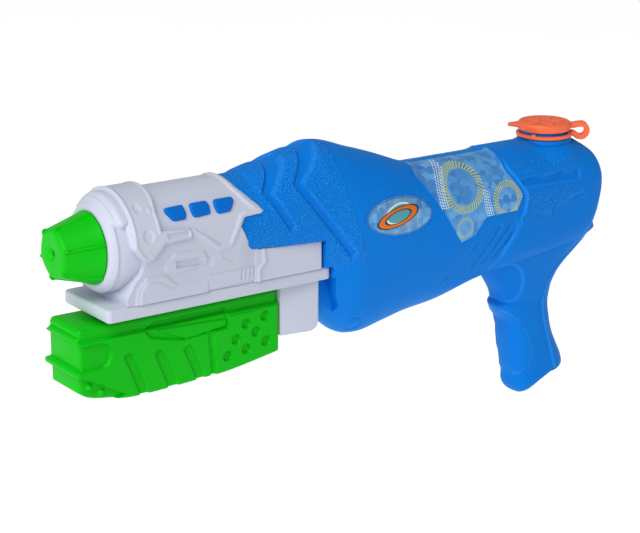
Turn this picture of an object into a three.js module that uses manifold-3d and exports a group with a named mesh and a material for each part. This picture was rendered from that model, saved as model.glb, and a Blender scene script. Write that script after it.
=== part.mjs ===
// Pump-action water squirter: a blow-moulded tank with its grip, a two-part pump housing, a sliding
// fore-grip that works the pump, and a press-on filler cap. Millimetres, +Z up, muzzle towards -X.
// Sizes are laid out from the nozzle tip (x = 0) and the barrel axis (y = z = 0); the assembly is
// then moved so that the origin lies in the palm of the grip.
import * as THREE from 'three';
import { mergeVertices } from 'three/addons/utils/BufferGeometryUtils.js';
import Module from 'manifold-3d';

const wasm = await Module();
wasm.setup();

// Clearances
const seat = 0.3; // between fixed pieces that rest on each other
const seam = 0.1; // each half of a split shell stops this far from the parting plane
const run = 0.6; // around pieces that slide or swing

// Roundness: the number of sides of small, middle and large round forms
const fewSides = 8;
const someSides = 12;
const manySides = 28;

// Palm of the grip, the origin of the part
const palm = { set: 53.5, z: -105 };

// Nozzle: a cone with ribs, a neck in the collar's lip and a flange behind it
const nozzle = {
  length: 23.8,
  tipRadius: 14.5,
  baseRadius: 21.6,
  ribs: 6,
  ribTurn: 17,
  ribHeight: 1.4,
  ribWidth: 2,
  orificeRadius: 1.2,
  chamberRadius: 9,
  chamberWall: 4,
  lipOverlap: 2.4,
  flangeOverlap: 4.4,
  flange: 3,
  spigotLength: 9,
  spigotWall: 2.6,
};

// Housing: a round barrel on a flat-sided body, standing on the slide plate
const collar = {
  lip: 2.6,
  lipRound: 4.9,
  ringStep: 1,
  ringLength: 9.5,
  bandRise: 2.8,
  bandLength: 23.6,
  chamfer: 2.4,
};
const barrel = { radius: 30.9, wall: 2.2, topEnd: 121.5 };
const rearEdge = { tipX: 127.4, tipZ: 12.8, notchX: 111, notchZ: 4.8 };
const block = { front: 121.3, rear: 171.2, topFront: -10.8, topRear: -13.4, half: 26, wall: 2.2 };
const plate = { front: 20.9, rear: 178.6, half: 26.3, top: -31.3, thickness: 8.2, corner: 3 };
const pedestal = { front: 34, half: 24, reach: 18 };
const pumpBox = { half: 24, bottom: -72, corner: 6, wall: 2.4 };

// Fore-grip: a split sleeve whose lips hook round the guide under the slide plate
const grip = {
  front: 5.7,
  rear: 144.2,
  top: -42.7,
  ledge: -50,
  bandHalf: 17.3,
  panelHalf: 20,
  wall: 2,
  slotHalf: 7.2,
  noseBottom: -82,
  chinX: 20,
  chinBottom: -87,
  bellyX: 44,
  bellyBottom: -89.6,
  tailX: 99,
  tailBottom: -87.4,
  rearBottom: -81,
  reliefDepth: 1.5,
  grooveWidth: 5,
  dimpleRadius: 3.3,
  wedgeFront: 48,
  wedgeRear: 102,
};

// Pump: cylinder, rod and piston under the slide plate
const pump = {
  axisZ: -60,
  boreRadius: 9,
  tubeWall: 1.5,
  stroke: 75,
  rodRadius: 3.5,
  pistonLength: 9,
  pistonSlack: 0.4,
  gland: 5,
  guideFront: 38,
  guideWall: 3,
  pinRadius: 1.5,
};
const valve = {
  ballRadius: 3,
  boreRadius: 3.9,
  portRadius: 2,
  chestHalf: 10.5,
  chestRear: 166,
  chestTop: -42,
  chestBottom: -71,
  outletX: 153,
  seatRing: 3.5,
  socketDepth: 6,
  socketRadius: 8.2,
  lift: 2,
  springWire: 0.5,
  springTurns: 3.5,
};
const hose = { outer: 3.5, bore: 2.3, level: -16.8, riseX: 98, bend: 8 };
const ring = { seal: 0.6, groove: 1.1 };

// Windows: three pads on each side of the barrel, leaning with its surface
const windows = {
  turn: 38,
  half: 4.4,
  length: 12.6,
  pitch: 16.4,
  first: 62.8,
  slant: 4,
  proud: 0.8,
  strip: 2,
  stripHalf: 7,
  margin: 1.5,
};
const windowSpan = 2 * windows.pitch + windows.length;

// Tank lines, each a smooth curve through a few points along the tank
const tank = {
  front: windows.first + windowSpan + windows.margin + seat,
  rear: 413.5,
  wall: 2,
  spigotRadius: 5.5,
  spigotWall: 1.5,
  neckRadius: 15.7,
  neckWall: 2.6,
  neckTop: 27.6,
  neckSet: 39.3,
  neckBevel: 0.8,
};
const tankLines = {
  top: [[tank.front, 27.2], [125, 27.6], [130, 31.4], [141, 34.4], [156, 38], [170, 41.2], [178.5, 43],
    [186, 42.4], [209, 35.2], [225, 30], [240, 24.4], [250, 20.6], [259, 18.4], [316, 18.3], [321, 20.2],
    [tank.rear - 25.5, 19.4], [tank.rear - 14.5, 14.6], [tank.rear - 6.5, 6.6], [tank.rear - 2, -3],
    [tank.rear, -8.5]],
  base: [[tank.front, -27.2], [125, -27.6], [150, -44], [171.6, -56.5], [178, -64.5], [186, -73.2],
    [192, -78.8], [197, -82.8], [203, -85.2], [210, -85.8], [228, -82.4], [247, -78.6], [270, -76],
    [304, -68],
    [tank.rear - 23.5, -53.5], [tank.rear - 14, -48.5], [tank.rear - 11, -44], [tank.rear - 8, -31],
    [tank.rear - 5, -21], [tank.rear - 2, -16], [tank.rear, -14]],
  half: [[tank.front, 27.2], [125, 27.6], [150, 29.2], [172, 30], [200, 33.4], [216, 33.2], [252, 30.8],
    [300, 29.4], [tank.rear - 23.5, 26.8], [tank.rear - 10.5, 24.6], [tank.rear - 4.5, 20.2],
    [tank.rear, 12]],
  mid: [[tank.front, 0], [130, 0], [172, -8], [205, -20], [255, -28], [320, -25], [tank.rear - 25.5, -20],
    [tank.rear - 8.5, -14], [tank.rear, -11]],
  power: [[tank.front, 2], [124, 2], [160, 2.25], [300, 2.3], [tank.rear, 2.6]],
};
const neckX = tank.rear - tank.neckSet;

// Grip below the tank, with its front and back lines measured from the tank's rear end
const handle = {
  bottomZ: -157.5,
  frontLine: [[-30, 96], [-47, 94.5], [-52, 93.5], [-58, 91.5], [-65, 88], [-72, 85], [-82, 79.6],
    [-94, 78.7],
    [-98, 75.8], [-105, 71.2], [-116, 70], [-126, 68.3], [-136, 66.7], [-145, 64.7], [-153, 64.6],
    [-157.5, 58.8]],
  backLine: [[-30, 10.5], [-38, 5.9], [-41.5, 4.3], [-43.5, 3.1], [-47, 8.1], [-52, 14.5], [-58, 20.8],
    [-65, 27.8], [-72, 33.2], [-82, 37.3], [-94, 37.9], [-105, 36.5], [-116, 33.2], [-126, 28.2],
    [-136, 23.3],
    [-141, 22.7], [-145, 29.1], [-149, 40.7], [-153, 46.3], [-157.5, 55]],
  halfLine: [[-30, 26.4], [-38, 26], [-46, 24.5], [-56, 21.5], [-66, 18.8], [-78, 16.4], [-92, 14.8],
    [-120, 15],
    [-145, 15.2], [-153, 12.5], [-157.5, 7]],
  powerLine: [[-30, 4], [-50, 3.8], [-70, 3], [-90, 2.6], [-157.5, 2.5]],
};
const channel = {
  width: 6.4,
  depth: 1.3,
  lines: [
    [[160, 48], [133.4, 18.9], [145.8, -2.2]],
    [[181, 50], [154, 21.9], [188.5, -25]],
  ],
};
const label = {
  recess: 0.9,
  film: 0.3,
  crown: 4,
  ovalLong: 26,
  ovalHigh: 12.3,
  ovalX: 226.4,
  ovalZ: -5.4,
  ovalLean: -4.3,
  outline: [[254, 30], [319, 30], [321, 9], [330.5, -5], [332.5, -9], [327, -18.4], [300.3, -19.2],
    [290.4, -30.2], [279.2, -32.6], [261.5, -4.2], [250, 13]],
};

// Filler cap, its ring and the strap between them; the strap points to the rear and left
const cap = {
  radius: 17.7,
  rim: 25.2,
  height: 6,
  wall: 2,
  plugRadius: 12.4,
  plugWall: 1.8,
  plugDepth: 4.6,
  tabLength: 10,
  tabHalf: 5,
  tabThickness: 1.6,
  turn: -35,
};
const strapRing = { radius: 18.85, bottom: 20.8, height: 2.4 };
const strap = { loopX: 24.3, loopZ: 24.4, loopRadius: 4.9, half: 2.5, thickness: 1.5 };

// Screws: pan heads sunk in wells on the right-hand shells
const screw = { headRadius: 2.6, headHeight: 2, shankRadius: 1.2, grip: 3.5, bite: 8, bossWall: 1.2 };

// Values that follow from the sizes above
const plateBottom = plate.top - plate.thickness;
const ringRadius = barrel.radius - collar.ringStep;
const bandRadius = barrel.radius + collar.bandRise;
const lipFront = nozzle.length + seat;
const lipBack = lipFront + collar.lip;
const flangeFront = lipBack + seat;
const flangeBack = flangeFront + nozzle.flange;
const ringBack = lipFront + collar.ringLength;
const bandFront = ringBack + collar.chamfer;
const bandBack = bandFront + collar.bandLength;
const neckRadius = nozzle.baseRadius - nozzle.lipOverlap;
const guideHalf = grip.bandHalf - grip.wall - run;
const guideTop = grip.top - grip.wall - run;
const guideBottom = 2 * pump.axisZ - guideTop;
const webHalf = grip.slotHalf - run;
const boxFront = grip.rear + run;
const boxRear = block.rear;
const tubeRadius = pump.boreRadius + pump.tubeWall;
const chestFront = boxFront - 3 * run;
const glandFront = pump.guideFront + pump.guideWall + seat;
const tubeFront = glandFront + pump.gland + seat;
const pistonRear = chestFront - seat - 3 * run;
const pistonFront = pistonRear - pump.pistonLength;
const tankFace = block.rear + 2 * run;

// Turns a plain geometry into a closed, merged one whose faces point outwards.
function closed(geometry) {
  const bare = geometry.clone();
  for (const name of Object.keys(bare.attributes)) {
    if (name !== 'position') bare.deleteAttribute(name);
  }
  const merged = mergeVertices(bare, 1e-4);
  const position = merged.attributes.position;
  const corner = [new THREE.Vector3(), new THREE.Vector3(), new THREE.Vector3()];
  const triangles = [];
  let volume = 0;
  for (let i = 0; i < merged.index.count; i += 3) {
    const face = [0, 1, 2].map((k) => merged.index.getX(i + k));
    if (new Set(face).size < 3) continue;
    face.forEach((vertex, k) => corner[k].fromBufferAttribute(position, vertex));
    volume += corner[0].dot(corner[1].clone().cross(corner[2]));
    triangles.push(face);
  }
  const outward = volume > 0 ? triangles : triangles.map(([a, b, c]) => [a, c, b]);
  const triVerts = new Uint32Array(outward.flat());
  return { vertProperties: new Float32Array(position.array), triVerts };
}

function solid(geometry) {
  return new wasm.Manifold(new wasm.Mesh({ numProp: 3, ...closed(geometry) }));
}

function shape(points) {
  return new THREE.Shape(points.map(([u, v]) => new THREE.Vector2(u, v)));
}

function extruded(outline, depth) {
  return new THREE.ExtrudeGeometry(outline, { depth, bevelEnabled: false, curveSegments: someSides / 2 });
}

// Prisms along Y, X and Z from outlines in (x, z), (y, z) and (x, y).
function prismY(outline, low, high) {
  return solid(extruded(outline, high - low).rotateX(Math.PI / 2).translate(0, high, 0));
}

function prismX(outline, low, high) {
  const axes = new THREE.Matrix4().makeBasis(
    new THREE.Vector3(0, 1, 0),
    new THREE.Vector3(0, 0, 1),
    new THREE.Vector3(1, 0, 0),
  );
  return solid(extruded(outline, high - low).applyMatrix4(axes).translate(low, 0, 0));
}

function prismZ(outline, low, high) {
  return solid(extruded(outline, high - low).translate(0, 0, low));
}

function box([x0, x1], [y0, y1], [z0, z1]) {
  const geometry = new THREE.BoxGeometry(x1 - x0, y1 - y0, z1 - z0);
  return solid(geometry.translate((x0 + x1) / 2, (y0 + y1) / 2, (z0 + z1) / 2));
}

// Turned pieces: profile points are (position along the axis, radius), closed on themselves.
function turned(profile, sides) {
  const points = [...profile, profile[0]].map(([along, radius]) => new THREE.Vector2(radius, along));
  return new THREE.LatheGeometry(points, sides);
}

function turnedX(profile, sides, y = 0, z = 0) {
  return solid(turned(profile, sides).rotateZ(-Math.PI / 2).translate(0, y, z));
}

function turnedZ(profile, sides, x = 0, y = 0) {
  return solid(turned(profile, sides).rotateX(Math.PI / 2).translate(x, y, 0));
}

function rod(radius, length, sides) {
  return new THREE.CylinderGeometry(radius, radius, length, sides);
}

function rodX(radius, [x0, x1], y, z, sides = someSides) {
  return solid(rod(radius, x1 - x0, sides).rotateZ(-Math.PI / 2).translate((x0 + x1) / 2, y, z));
}

function rodY(radius, x, [y0, y1], z, sides = someSides) {
  return solid(rod(radius, y1 - y0, sides).translate(x, (y0 + y1) / 2, z));
}

function rodZ(radius, x, y, [z0, z1], sides = someSides) {
  return solid(rod(radius, z1 - z0, sides).rotateX(Math.PI / 2).translate(x, y, (z0 + z1) / 2));
}

// A ring of round section about X, Y or Z through the origin.
function roundSeal(radius, section) {
  return new THREE.TorusGeometry(radius, section, fewSides / 2, manySides / 2);
}

// A smooth curve through points, read by its first coordinate.
function line(points) {
  const slope = points.slice(1).map(([u, v], i) => (v - points[i][1]) / (u - points[i][0]));
  const tangent = points.map((_, i) => {
    const before = slope[i - 1] ?? slope[i];
    const after = slope[i] ?? slope[i - 1];
    return before * after > 0 ? (2 * before * after) / (before + after) : 0;
  });
  const rising = points[0][0] < points[points.length - 1][0];
  return (at) => {
    let i = 0;
    while (i < points.length - 2 && (rising ? at > points[i + 1][0] : at < points[i + 1][0])) i += 1;
    const [u0, v0] = points[i];
    const [u1, v1] = points[i + 1];
    const t = THREE.MathUtils.clamp((at - u0) / (u1 - u0), 0, 1);
    const width = u1 - u0;
    const stay = (1 + 2 * t) * (1 - t) * (1 - t) * v0 + t * t * (3 - 2 * t) * v1;
    return stay + width * t * (1 - t) * ((1 - t) * tangent[i] - t * tangent[i + 1]);
  };
}

// A closed skin through rings of equal count, with flat ends or running back into its first ring.
function skin(rings, endless = false) {
  const count = rings[0].length;
  const total = rings.length * count;
  const faces = [];
  for (let k = 0; k < rings.length - (endless ? 0 : 1); k += 1) {
    for (let i = 0; i < count; i += 1) {
      const a = k * count + i;
      const b = k * count + ((i + 1) % count);
      faces.push(a, b, (b + count) % total, a, (b + count) % total, (a + count) % total);
    }
  }
  for (let i = 1; i < count - 1 && !endless; i += 1) {
    const last = total - count;
    faces.push(0, i + 1, i, last, last + i, last + i + 1);
  }
  const geometry = new THREE.BufferGeometry();
  geometry.setAttribute('position', new THREE.Float32BufferAttribute(rings.flat(2), 3));
  geometry.setIndex(faces);
  return geometry;
}

const rounded = (value, power) => Math.sign(value) * Math.abs(value) ** (2 / power);

function angles(count) {
  return Array.from({ length: count }, (_, i) => (2 * Math.PI * i) / count);
}

function spread(from, to, count) {
  return Array.from({ length: count + 1 }, (_, i) => from + ((to - from) * i) / count);
}

// The tank's body at a given inset from its outer face: rings of rounded section along X.
function tankBody(inset, stations, sides) {
  const top = line(tankLines.top);
  const base = line(tankLines.base);
  const half = line(tankLines.half);
  const mid = line(tankLines.mid);
  const power = line(tankLines.power);
  return solid(skin(stations.map((x) => angles(sides).map((turn) => {
    const middle = mid(x);
    const up = Math.sin(turn);
    const reach = up > 0 ? top(x) - middle - inset : middle - base(x) - inset;
    const out = Math.max(half(x) - inset, 1);
    return [x, out * rounded(Math.cos(turn), power(x)), middle + reach * rounded(up, power(x))];
  }))));
}

// The grip below the tank: rings of rounded section down Z.
function handGrip(inset, levels, sides) {
  const front = line(handle.frontLine);
  const back = line(handle.backLine);
  const half = line(handle.halfLine);
  const power = line(handle.powerLine);
  return solid(skin(levels.map((z) => angles(sides).map((turn) => {
    const middle = tank.rear - (front(z) + back(z)) / 2;
    const deep = (front(z) - back(z)) / 2 - inset;
    const out = half(z) - inset;
    const along = rounded(Math.cos(turn), power(z));
    const across = rounded(Math.sin(turn), power(z));
    return [middle + deep * along, -out * across, z];
  }))));
}

function finish(color, roughness) {
  return () => new THREE.MeshStandardMaterial({ color, roughness, metalness: 0 });
}

const blue = finish(0x0b6bd0, 0.45);
const white = finish(0xd3d7e2, 0.4);
const green = finish(0x17b81f, 0.4);
const orange = finish(0xff6a3c, 0.45);
const glaze = finish(0x0a62c4, 0.35);
const foil = finish(0x8fb9dc, 0.3);
const clear = finish(0xdfe6ea, 0.3);
const grey = finish(0x8a9097, 0.5);
const rubber = finish(0x25272a, 0.8);
const steel = () => new THREE.MeshStandardMaterial({ color: 0xb9bdc2, roughness: 0.3, metalness: 1 });

function named(name, geometry, material, [x, y, z] = [0, 0, 0]) {
  const mesh = new THREE.Mesh(geometry, material());
  mesh.name = name;
  mesh.position.set(x, y, z);
  return mesh;
}

// A mesh from a boolean result, already in its place.
function made(name, body, material) {
  const { vertProperties, triVerts } = body.getMesh();
  const geometry = new THREE.BufferGeometry();
  geometry.setAttribute('position', new THREE.BufferAttribute(Float32Array.from(vertProperties), 3));
  geometry.setIndex(new THREE.BufferAttribute(Uint32Array.from(triVerts), 1));
  return named(name, geometry, material);
}

function group(...members) {
  const holder = new THREE.Group();
  holder.add(...members);
  return holder;
}

const far = 400;
const leftHalf = box([-far, far + far], [-far, -seam], [-far, far]);
const rightHalf = box([-far, far + far], [seam, far], [-far, far]);

// Side-view outline of a bar with round ends between two points.
function barOutline([x0, z0], [x1, z1], width) {
  const lean = Math.atan2(z1 - z0, x1 - x0);
  const arc = (x, z, from) => spread(from, from + Math.PI, 6).map((turn) => (
    [x + (width / 2) * Math.cos(turn), z + (width / 2) * Math.sin(turn)]
  ));
  return shape([...arc(x0, z0, lean + Math.PI / 2), ...arc(x1, z1, lean - Math.PI / 2)]);
}

function ellipseOutline(x, z, long, high, lean, count) {
  return shape(angles(count).map((turn) => {
    const u = long * Math.cos(turn);
    const v = high * Math.sin(turn);
    return [x + u * Math.cos(lean) - v * Math.sin(lean), z + u * Math.sin(lean) + v * Math.cos(lean)];
  }));
}

const bodyStations = [
  tank.front, 125, 130, 141, 156, 171.6, 178.5, 185, 191, 197, 208, 225, 240, 250, 259, 287, 316, 321,
  ...[60, 25.5, 14.5, 11, 8, 5, 2, 0].map((before) => tank.rear - before).filter((x) => x > 321),
];
const innerStations = [
  tank.front + tank.wall, 127, 150, 178.5, 190, 205, 230, 252, 285, 320,
  ...[29.5, 13.5, 3 * tank.wall].map((before) => tank.rear - before),
];
const gripLevels = [
  -30, -38, -41.5, -43.5, -47, -52, -58, -65, -72, -82, -94, -98, -105, -116, -126, -136, -141, -145, -149,
  -153, handle.bottomZ,
];
const innerLevels = [-48, -58, -65, -73, -83, -94, -106, -118, -130, -139, handle.bottomZ + 5 * tank.wall];
const bodySides = 26;
const innerSides = 14;
const gripSides = 18;

// Tank: one hollow moulding with the grip, the filler neck on top and the outlet spigot in front.
function buildTank() {
  const outside = tankBody(0, bodyStations, bodySides);
  const cut = {
    channel: tankBody(channel.depth, bodyStations, bodySides),
    label: tankBody(label.recess, bodyStations, bodySides),
    filmTop: tankBody(label.recess - seat - label.film, bodyStations, bodySides),
    filmBase: tankBody(label.recess - seat, bodyStations, bodySides),
  };
  const oval = prismY(
    ellipseOutline(
      label.ovalX, label.ovalZ, label.ovalLong, label.ovalHigh, THREE.MathUtils.degToRad(label.ovalLean),
      manySides / 2,
    ), -far, far,
  );
  const wrap = prismY(shape(label.outline), -far, far);
  const crown = box([tank.front, tank.rear], [-label.crown, label.crown], [0, far]);
  const side = wrap.subtract(crown);
  let body = outside.add(handGrip(0, gripLevels, gripSides));
  for (const points of channel.lines) {
    for (let i = 0; i < points.length - 1; i += 1) {
      const bar = prismY(barOutline(points[i], points[i + 1], channel.width), -far, far);
      body = body.subtract(bar.subtract(cut.channel));
    }
  }
  body = body.subtract(side.subtract(cut.label)).subtract(oval.subtract(cut.label));
  const noseBase = shape([
    [0, -far], [tankFace, -far], [tankFace, block.topRear + seat], [block.front, block.topFront + seat],
    [0, block.topFront + seat],
  ]);
  const railEnd = shape([
    [0, plateBottom - seat], [plate.rear + seat, plateBottom - seat], [plate.rear + seat, plate.top + seat],
    [0, plate.top + seat],
  ]);
  body = body.subtract(prismY(noseBase, -far, far)).subtract(prismY(railEnd, -far, far));
  const spigotFront = valve.chestRear - valve.socketDepth + seat;
  const spigotSpan = [spigotFront, tankFace + 6 * tank.wall];
  body = body.add(rodX(tank.spigotRadius, spigotSpan, 0, pump.axisZ));
  const neckBase = line(tankLines.top)(neckX) - 3 * tank.wall;
  body = body.add(rodZ(tank.neckRadius, neckX, 0, [neckBase, tank.neckTop], manySides));
  const neckBore = tank.neckRadius - tank.neckWall;
  const innerFace = tankFace + tank.wall;
  const innerFloor = block.topFront + seat + tank.wall;
  const insideNose = shape([
    [0, -far], [innerFace, -far], [innerFace, plateBottom - seat - tank.wall],
    [plate.rear + seat + tank.wall, plateBottom - seat - tank.wall],
    [plate.rear + seat + tank.wall, plate.top + seat + tank.wall], [innerFace, plate.top + seat + tank.wall],
    [innerFace, innerFloor], [0, innerFloor],
  ]);
  const cavity = tankBody(tank.wall + label.recess, innerStations, innerSides)
    .add(handGrip(tank.wall, innerLevels, innerSides))
    .subtract(prismY(insideNose, -far, far))
    .add(rodX(tank.spigotRadius - tank.spigotWall, [0, innerFace + 6 * tank.wall], 0, pump.axisZ))
    .add(rodZ(neckBore, neckX, 0, [neckBase - 3 * tank.wall, far], manySides))
    .add(turnedZ([
      [tank.neckTop - 2 * tank.neckBevel, 0], [tank.neckTop - 2 * tank.neckBevel, neckBore - run],
      [tank.neckTop + run, neckBore + tank.neckBevel], [tank.neckTop + run, 0],
    ], manySides, neckX));
  const film = (outline, half) => outline.intersect(cut.filmTop).subtract(cut.filmBase).intersect(half);
  return group(
    made('tank', body.subtract(cavity), blue),
    made('wrap_label_left', film(side, leftHalf), foil),
    made('wrap_label_right', film(side, rightHalf), foil),
    made('oval_label_left', film(oval, leftHalf), foil),
    made('oval_label_right', film(oval, rightHalf), foil),
  );
}

// Screw places in the housing (x, z) and the half-width of the shell there
const housingScrews = [
  [47, -24.6, 30], [48, 21, 30], [84, -24.6, 30], [115, -25.2, 26], [139, -25.2, 26], [164, -25.2, 26],
];
const gripScrews = [[18, -79, grip.panelHalf], [18, -51.5, grip.panelHalf], [120, -80, grip.panelHalf]];

const bossRadius = screw.headRadius + seat + screw.bossWall;

// The boss that joins both halves at one screw, and the room for that screw.
function bosses(places) {
  return places.map(([x, z, half]) => rodY(bossRadius, x, [-half + seat, half - seat], z, fewSides));
}

function screwRoom([x, z, half]) {
  const well = rodY(screw.headRadius + seat, x, [screw.grip + seat, half + far], z, fewSides);
  const hole = rodY(screw.shankRadius + seat, x, [-screw.bite - seat, screw.grip + run], z, fewSides);
  return well.add(hole);
}

function screwGeometry() {
  const profile = [
    [-screw.bite, 0], [-screw.bite, screw.shankRadius], [screw.grip + 2 * seat, screw.shankRadius],
    [screw.grip + 2 * seat, screw.headRadius], [screw.grip + screw.headHeight, screw.headRadius],
    [screw.grip + screw.headHeight + seat, 0],
  ];
  return turned(profile, fewSides);
}

function screws(prefix, places) {
  return places.map(([x, z], i) => named(`${prefix}_${i + 1}`, tidy(screwGeometry()), steel, [x, 0, z]));
}

// A closed geometry without doubled vertices, for a mesh that is placed by its position.
function tidy(geometry) {
  const { vertProperties, triVerts } = closed(geometry);
  const clean = new THREE.BufferGeometry();
  clean.setAttribute('position', new THREE.BufferAttribute(vertProperties, 3));
  clean.setIndex(new THREE.BufferAttribute(triVerts, 1));
  return clean;
}

function windowPads(inset, from, to) {
  const turn = THREE.MathUtils.degToRad(windows.turn);
  const pads = [0, 1, 2].map((i) => {
    const x = windows.first + i * windows.pitch;
    const h = windows.half - inset;
    const slant = windows.slant * (1 - i);
    const outline = shape([
      [x + inset, h - 1], [x + inset, h], [x + windows.length - inset - 1, h],
      [x + windows.length - inset, h - 2],
      [x + windows.length - inset, -h], [x + inset + Math.abs(slant), -h], [x + inset, -h + Math.abs(slant)],
    ]);
    const pad = extruded(outline, to - from).translate(0, 0, from);
    return solid(pad.rotateX(Math.PI / 2 - turn));
  });
  return pads.reduce((all, pad) => all.add(pad));
}

function windowStrip(clear) {
  const turn = THREE.MathUtils.degToRad(windows.turn);
  const back = barrel.radius - barrel.wall - windows.strip;
  const geometry = new THREE.BoxGeometry(
    windowSpan + 2 * (windows.margin + clear), 2 * (windows.stripHalf + clear), 2 * windows.strip,
  );
  geometry.translate(windows.first + windowSpan / 2, 0, back - windows.strip);
  return solid(geometry.rotateX(Math.PI / 2 - turn));
}

// Housing: left and right shells that clamp the tank's nose, the nozzle and the pump.
function buildHousing() {
  const end = rearEdge.tipX + run;
  const outline = shape([
    [0, -far], [0, far], [barrel.topEnd, far], [barrel.topEnd, barrel.radius], [rearEdge.tipX, rearEdge.tipZ],
    [rearEdge.notchX + 4, rearEdge.tipZ - 3], [rearEdge.notchX, rearEdge.notchZ],
    [block.front, block.topFront],
    [block.rear, block.topRear], [block.rear, -far],
  ]);
  const round = turnedX([
    [lipFront, 0], [lipFront, ringRadius - collar.lipRound], [lipFront + collar.chamfer, ringRadius],
    [ringBack, ringRadius], [bandFront, bandRadius], [bandBack, bandRadius],
    [bandBack + collar.chamfer, barrel.radius], [end, barrel.radius], [end, 0],
  ], manySides);
  const bodyFront = pedestal.front + pedestal.reach;
  const lean = prismX(shape([
    [-block.half, plate.top - run], [block.half, plate.top - run], [barrel.radius, 0], [-barrel.radius, 0],
  ]), bodyFront, end);
  const flank = box([end - run, block.rear], [-block.half, block.half], [plate.top - run, 0]);
  const sweep = spread(0, Math.PI / 2, 5).map((turn) => [
    pedestal.front + pedestal.reach * Math.sin(turn), plate.top + pedestal.reach * (1 - Math.cos(turn)),
  ]);
  const foot = prismY(shape([
    [pedestal.front, plate.top - run], ...sweep, [bodyFront + run, plate.top + pedestal.reach],
    [bodyFront + run, plate.top - run],
  ]), -pedestal.half, pedestal.half);
  const c = plate.corner;
  const slab = prismZ(shape([
    [plate.front + c, -plate.half], [plate.rear, -plate.half], [plate.rear, plate.half],
    [plate.front + c, plate.half], [plate.front + c / 4, plate.half - c / 4], [plate.front, plate.half - c],
    [plate.front, c - plate.half], [plate.front + c / 4, c / 4 - plate.half],
  ]), plateBottom, plate.top);
  const b = pumpBox.corner;
  const boxShell = prismY(shape([
    [boxFront, plateBottom + run], [boxFront, pumpBox.bottom], [boxRear - b, pumpBox.bottom],
    [boxRear - b / 4, pumpBox.bottom + b / 4], [boxRear, pumpBox.bottom + b], [boxRear, plateBottom + run],
  ]), -pumpBox.half, pumpBox.half);
  const guide = box([pump.guideFront, boxFront + run], [-guideHalf, guideHalf], [guideBottom, guideTop])
    .add(box([pump.guideFront, boxFront + run], [-webHalf, webHalf], [guideTop - run, plateBottom + run]));
  const fade = (side) => prismZ(shape([
    [rearEdge.notchX - run, side * (barrel.radius + run)], [end + run, side * (barrel.radius + run)],
    [end + run, side * block.half],
  ]), -far, block.topFront);
  const trunk = round.add(lean).subtract(fade(1)).subtract(fade(-1));
  let body = trunk.add(flank).intersect(prismY(outline, -far, far));
  body = body.add(foot).add(slab).add(boxShell).add(guide);

  const inner = barrel.radius - barrel.wall;
  const hollow = turnedX([
    [lipFront - run, 0], [lipFront - run, neckRadius + seat], [lipBack, neckRadius + seat],
    [lipBack, neckRadius + nozzle.flangeOverlap + seat],
    [flangeBack + seat, neckRadius + nozzle.flangeOverlap + seat],
    [flangeBack + seat, neckRadius], [flangeBack + seat + barrel.wall, neckRadius],
    [flangeBack + seat + barrel.wall, inner - barrel.wall], [bandFront, inner - barrel.wall],
    [bandFront + run, inner],
    [end + run, inner], [end + run, 0],
  ], manySides);
  const roomFront = bodyFront + block.wall;
  const room = box(
    [roomFront, block.rear - block.wall], [block.wall - block.half, block.half - block.wall],
    [plate.top + block.wall, far],
  ).subtract(box([0, far], [-far, far], [block.topRear + 3 * block.wall, far]));
  const chestRoom = box(
    [boxFront + pumpBox.wall, boxRear - pumpBox.wall],
    [pumpBox.wall - pumpBox.half, pumpBox.half - pumpBox.wall],
    [pumpBox.bottom + pumpBox.wall, plateBottom - pumpBox.wall],
  );
  const boreSpan = [pump.guideFront + pump.guideWall, boxFront + 2 * pumpBox.wall];
  const bore = rodX(tubeRadius + seat, boreSpan, 0, pump.axisZ, manySides / 2)
    .add(rodX(pump.rodRadius + run, [0, boxFront], 0, pump.axisZ))
    .add(rodX(valve.socketRadius + seat, [boxRear - 2 * pumpBox.wall, boxRear + run], 0, pump.axisZ));
  const unionRadius = valve.boreRadius + valve.portRadius + seat;
  const riser = rodZ(hose.outer + run, valve.outletX, 0, [plateBottom - run, plate.top + 2 * block.wall])
    .add(rodZ(unionRadius, valve.outletX, 0, [plateBottom - 2 * pumpBox.wall, plateBottom]));
  const ribs = bosses(housingScrews).reduce((all, boss) => all.add(boss));
  const shell = body.subtract(hollow).subtract(room).subtract(chestRoom);
  const full = shell.add(ribs.intersect(body)).subtract(bore).subtract(riser);
  const ready = housingScrews.reduce((left, place) => left.subtract(screwRoom(place)), full);
  const pads = windowPads(-seat, inner - 2 * windows.strip, far);
  const mirrored = (part) => part.mirror([0, 1, 0]);
  const left = ready.intersect(leftHalf).subtract(pads);
  const right = ready.intersect(rightHalf).subtract(mirrored(pads));
  const insert = windowPads(0, inner - windows.strip - seat, barrel.radius + windows.proud)
    .add(windowStrip(-seat));
  return group(
    made('housing_left', left, white),
    made('housing_right', right, white),
    made('window_insert_left', insert, glaze),
    made('window_insert_right', mirrored(insert), glaze),
    ...screws('housing_screw', housingScrews),
  );
}

// A hose in the parting plane through (x, z) corners, with an even bend at each inner one.
function hosePipe(corners) {
  const at = corners.map(([x, z]) => new THREE.Vector3(x, 0, z));
  const path = [at[0]];
  for (let i = 1; i < at.length - 1; i += 1) {
    const before = at[i].clone().add(at[i - 1].clone().sub(at[i]).setLength(hose.bend));
    const after = at[i].clone().add(at[i + 1].clone().sub(at[i]).setLength(hose.bend));
    path.push(...new THREE.QuadraticBezierCurve3(before, at[i], after).getPoints(4));
  }
  path.push(at[at.length - 1]);
  const ringAt = (radius) => path.map((point, i) => {
    const ahead = path[Math.min(i + 1, path.length - 1)].clone().sub(path[Math.max(i - 1, 0)]).normalize();
    const up = new THREE.Vector3(-ahead.z, 0, ahead.x);
    return angles(fewSides).map((turn) => point.clone().addScaledVector(up, radius * Math.cos(turn))
      .add(new THREE.Vector3(0, radius * Math.sin(turn), 0)).toArray());
  });
  return tidy(skin([...ringAt(hose.outer), ...ringAt(hose.bore).reverse()], true));
}

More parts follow.
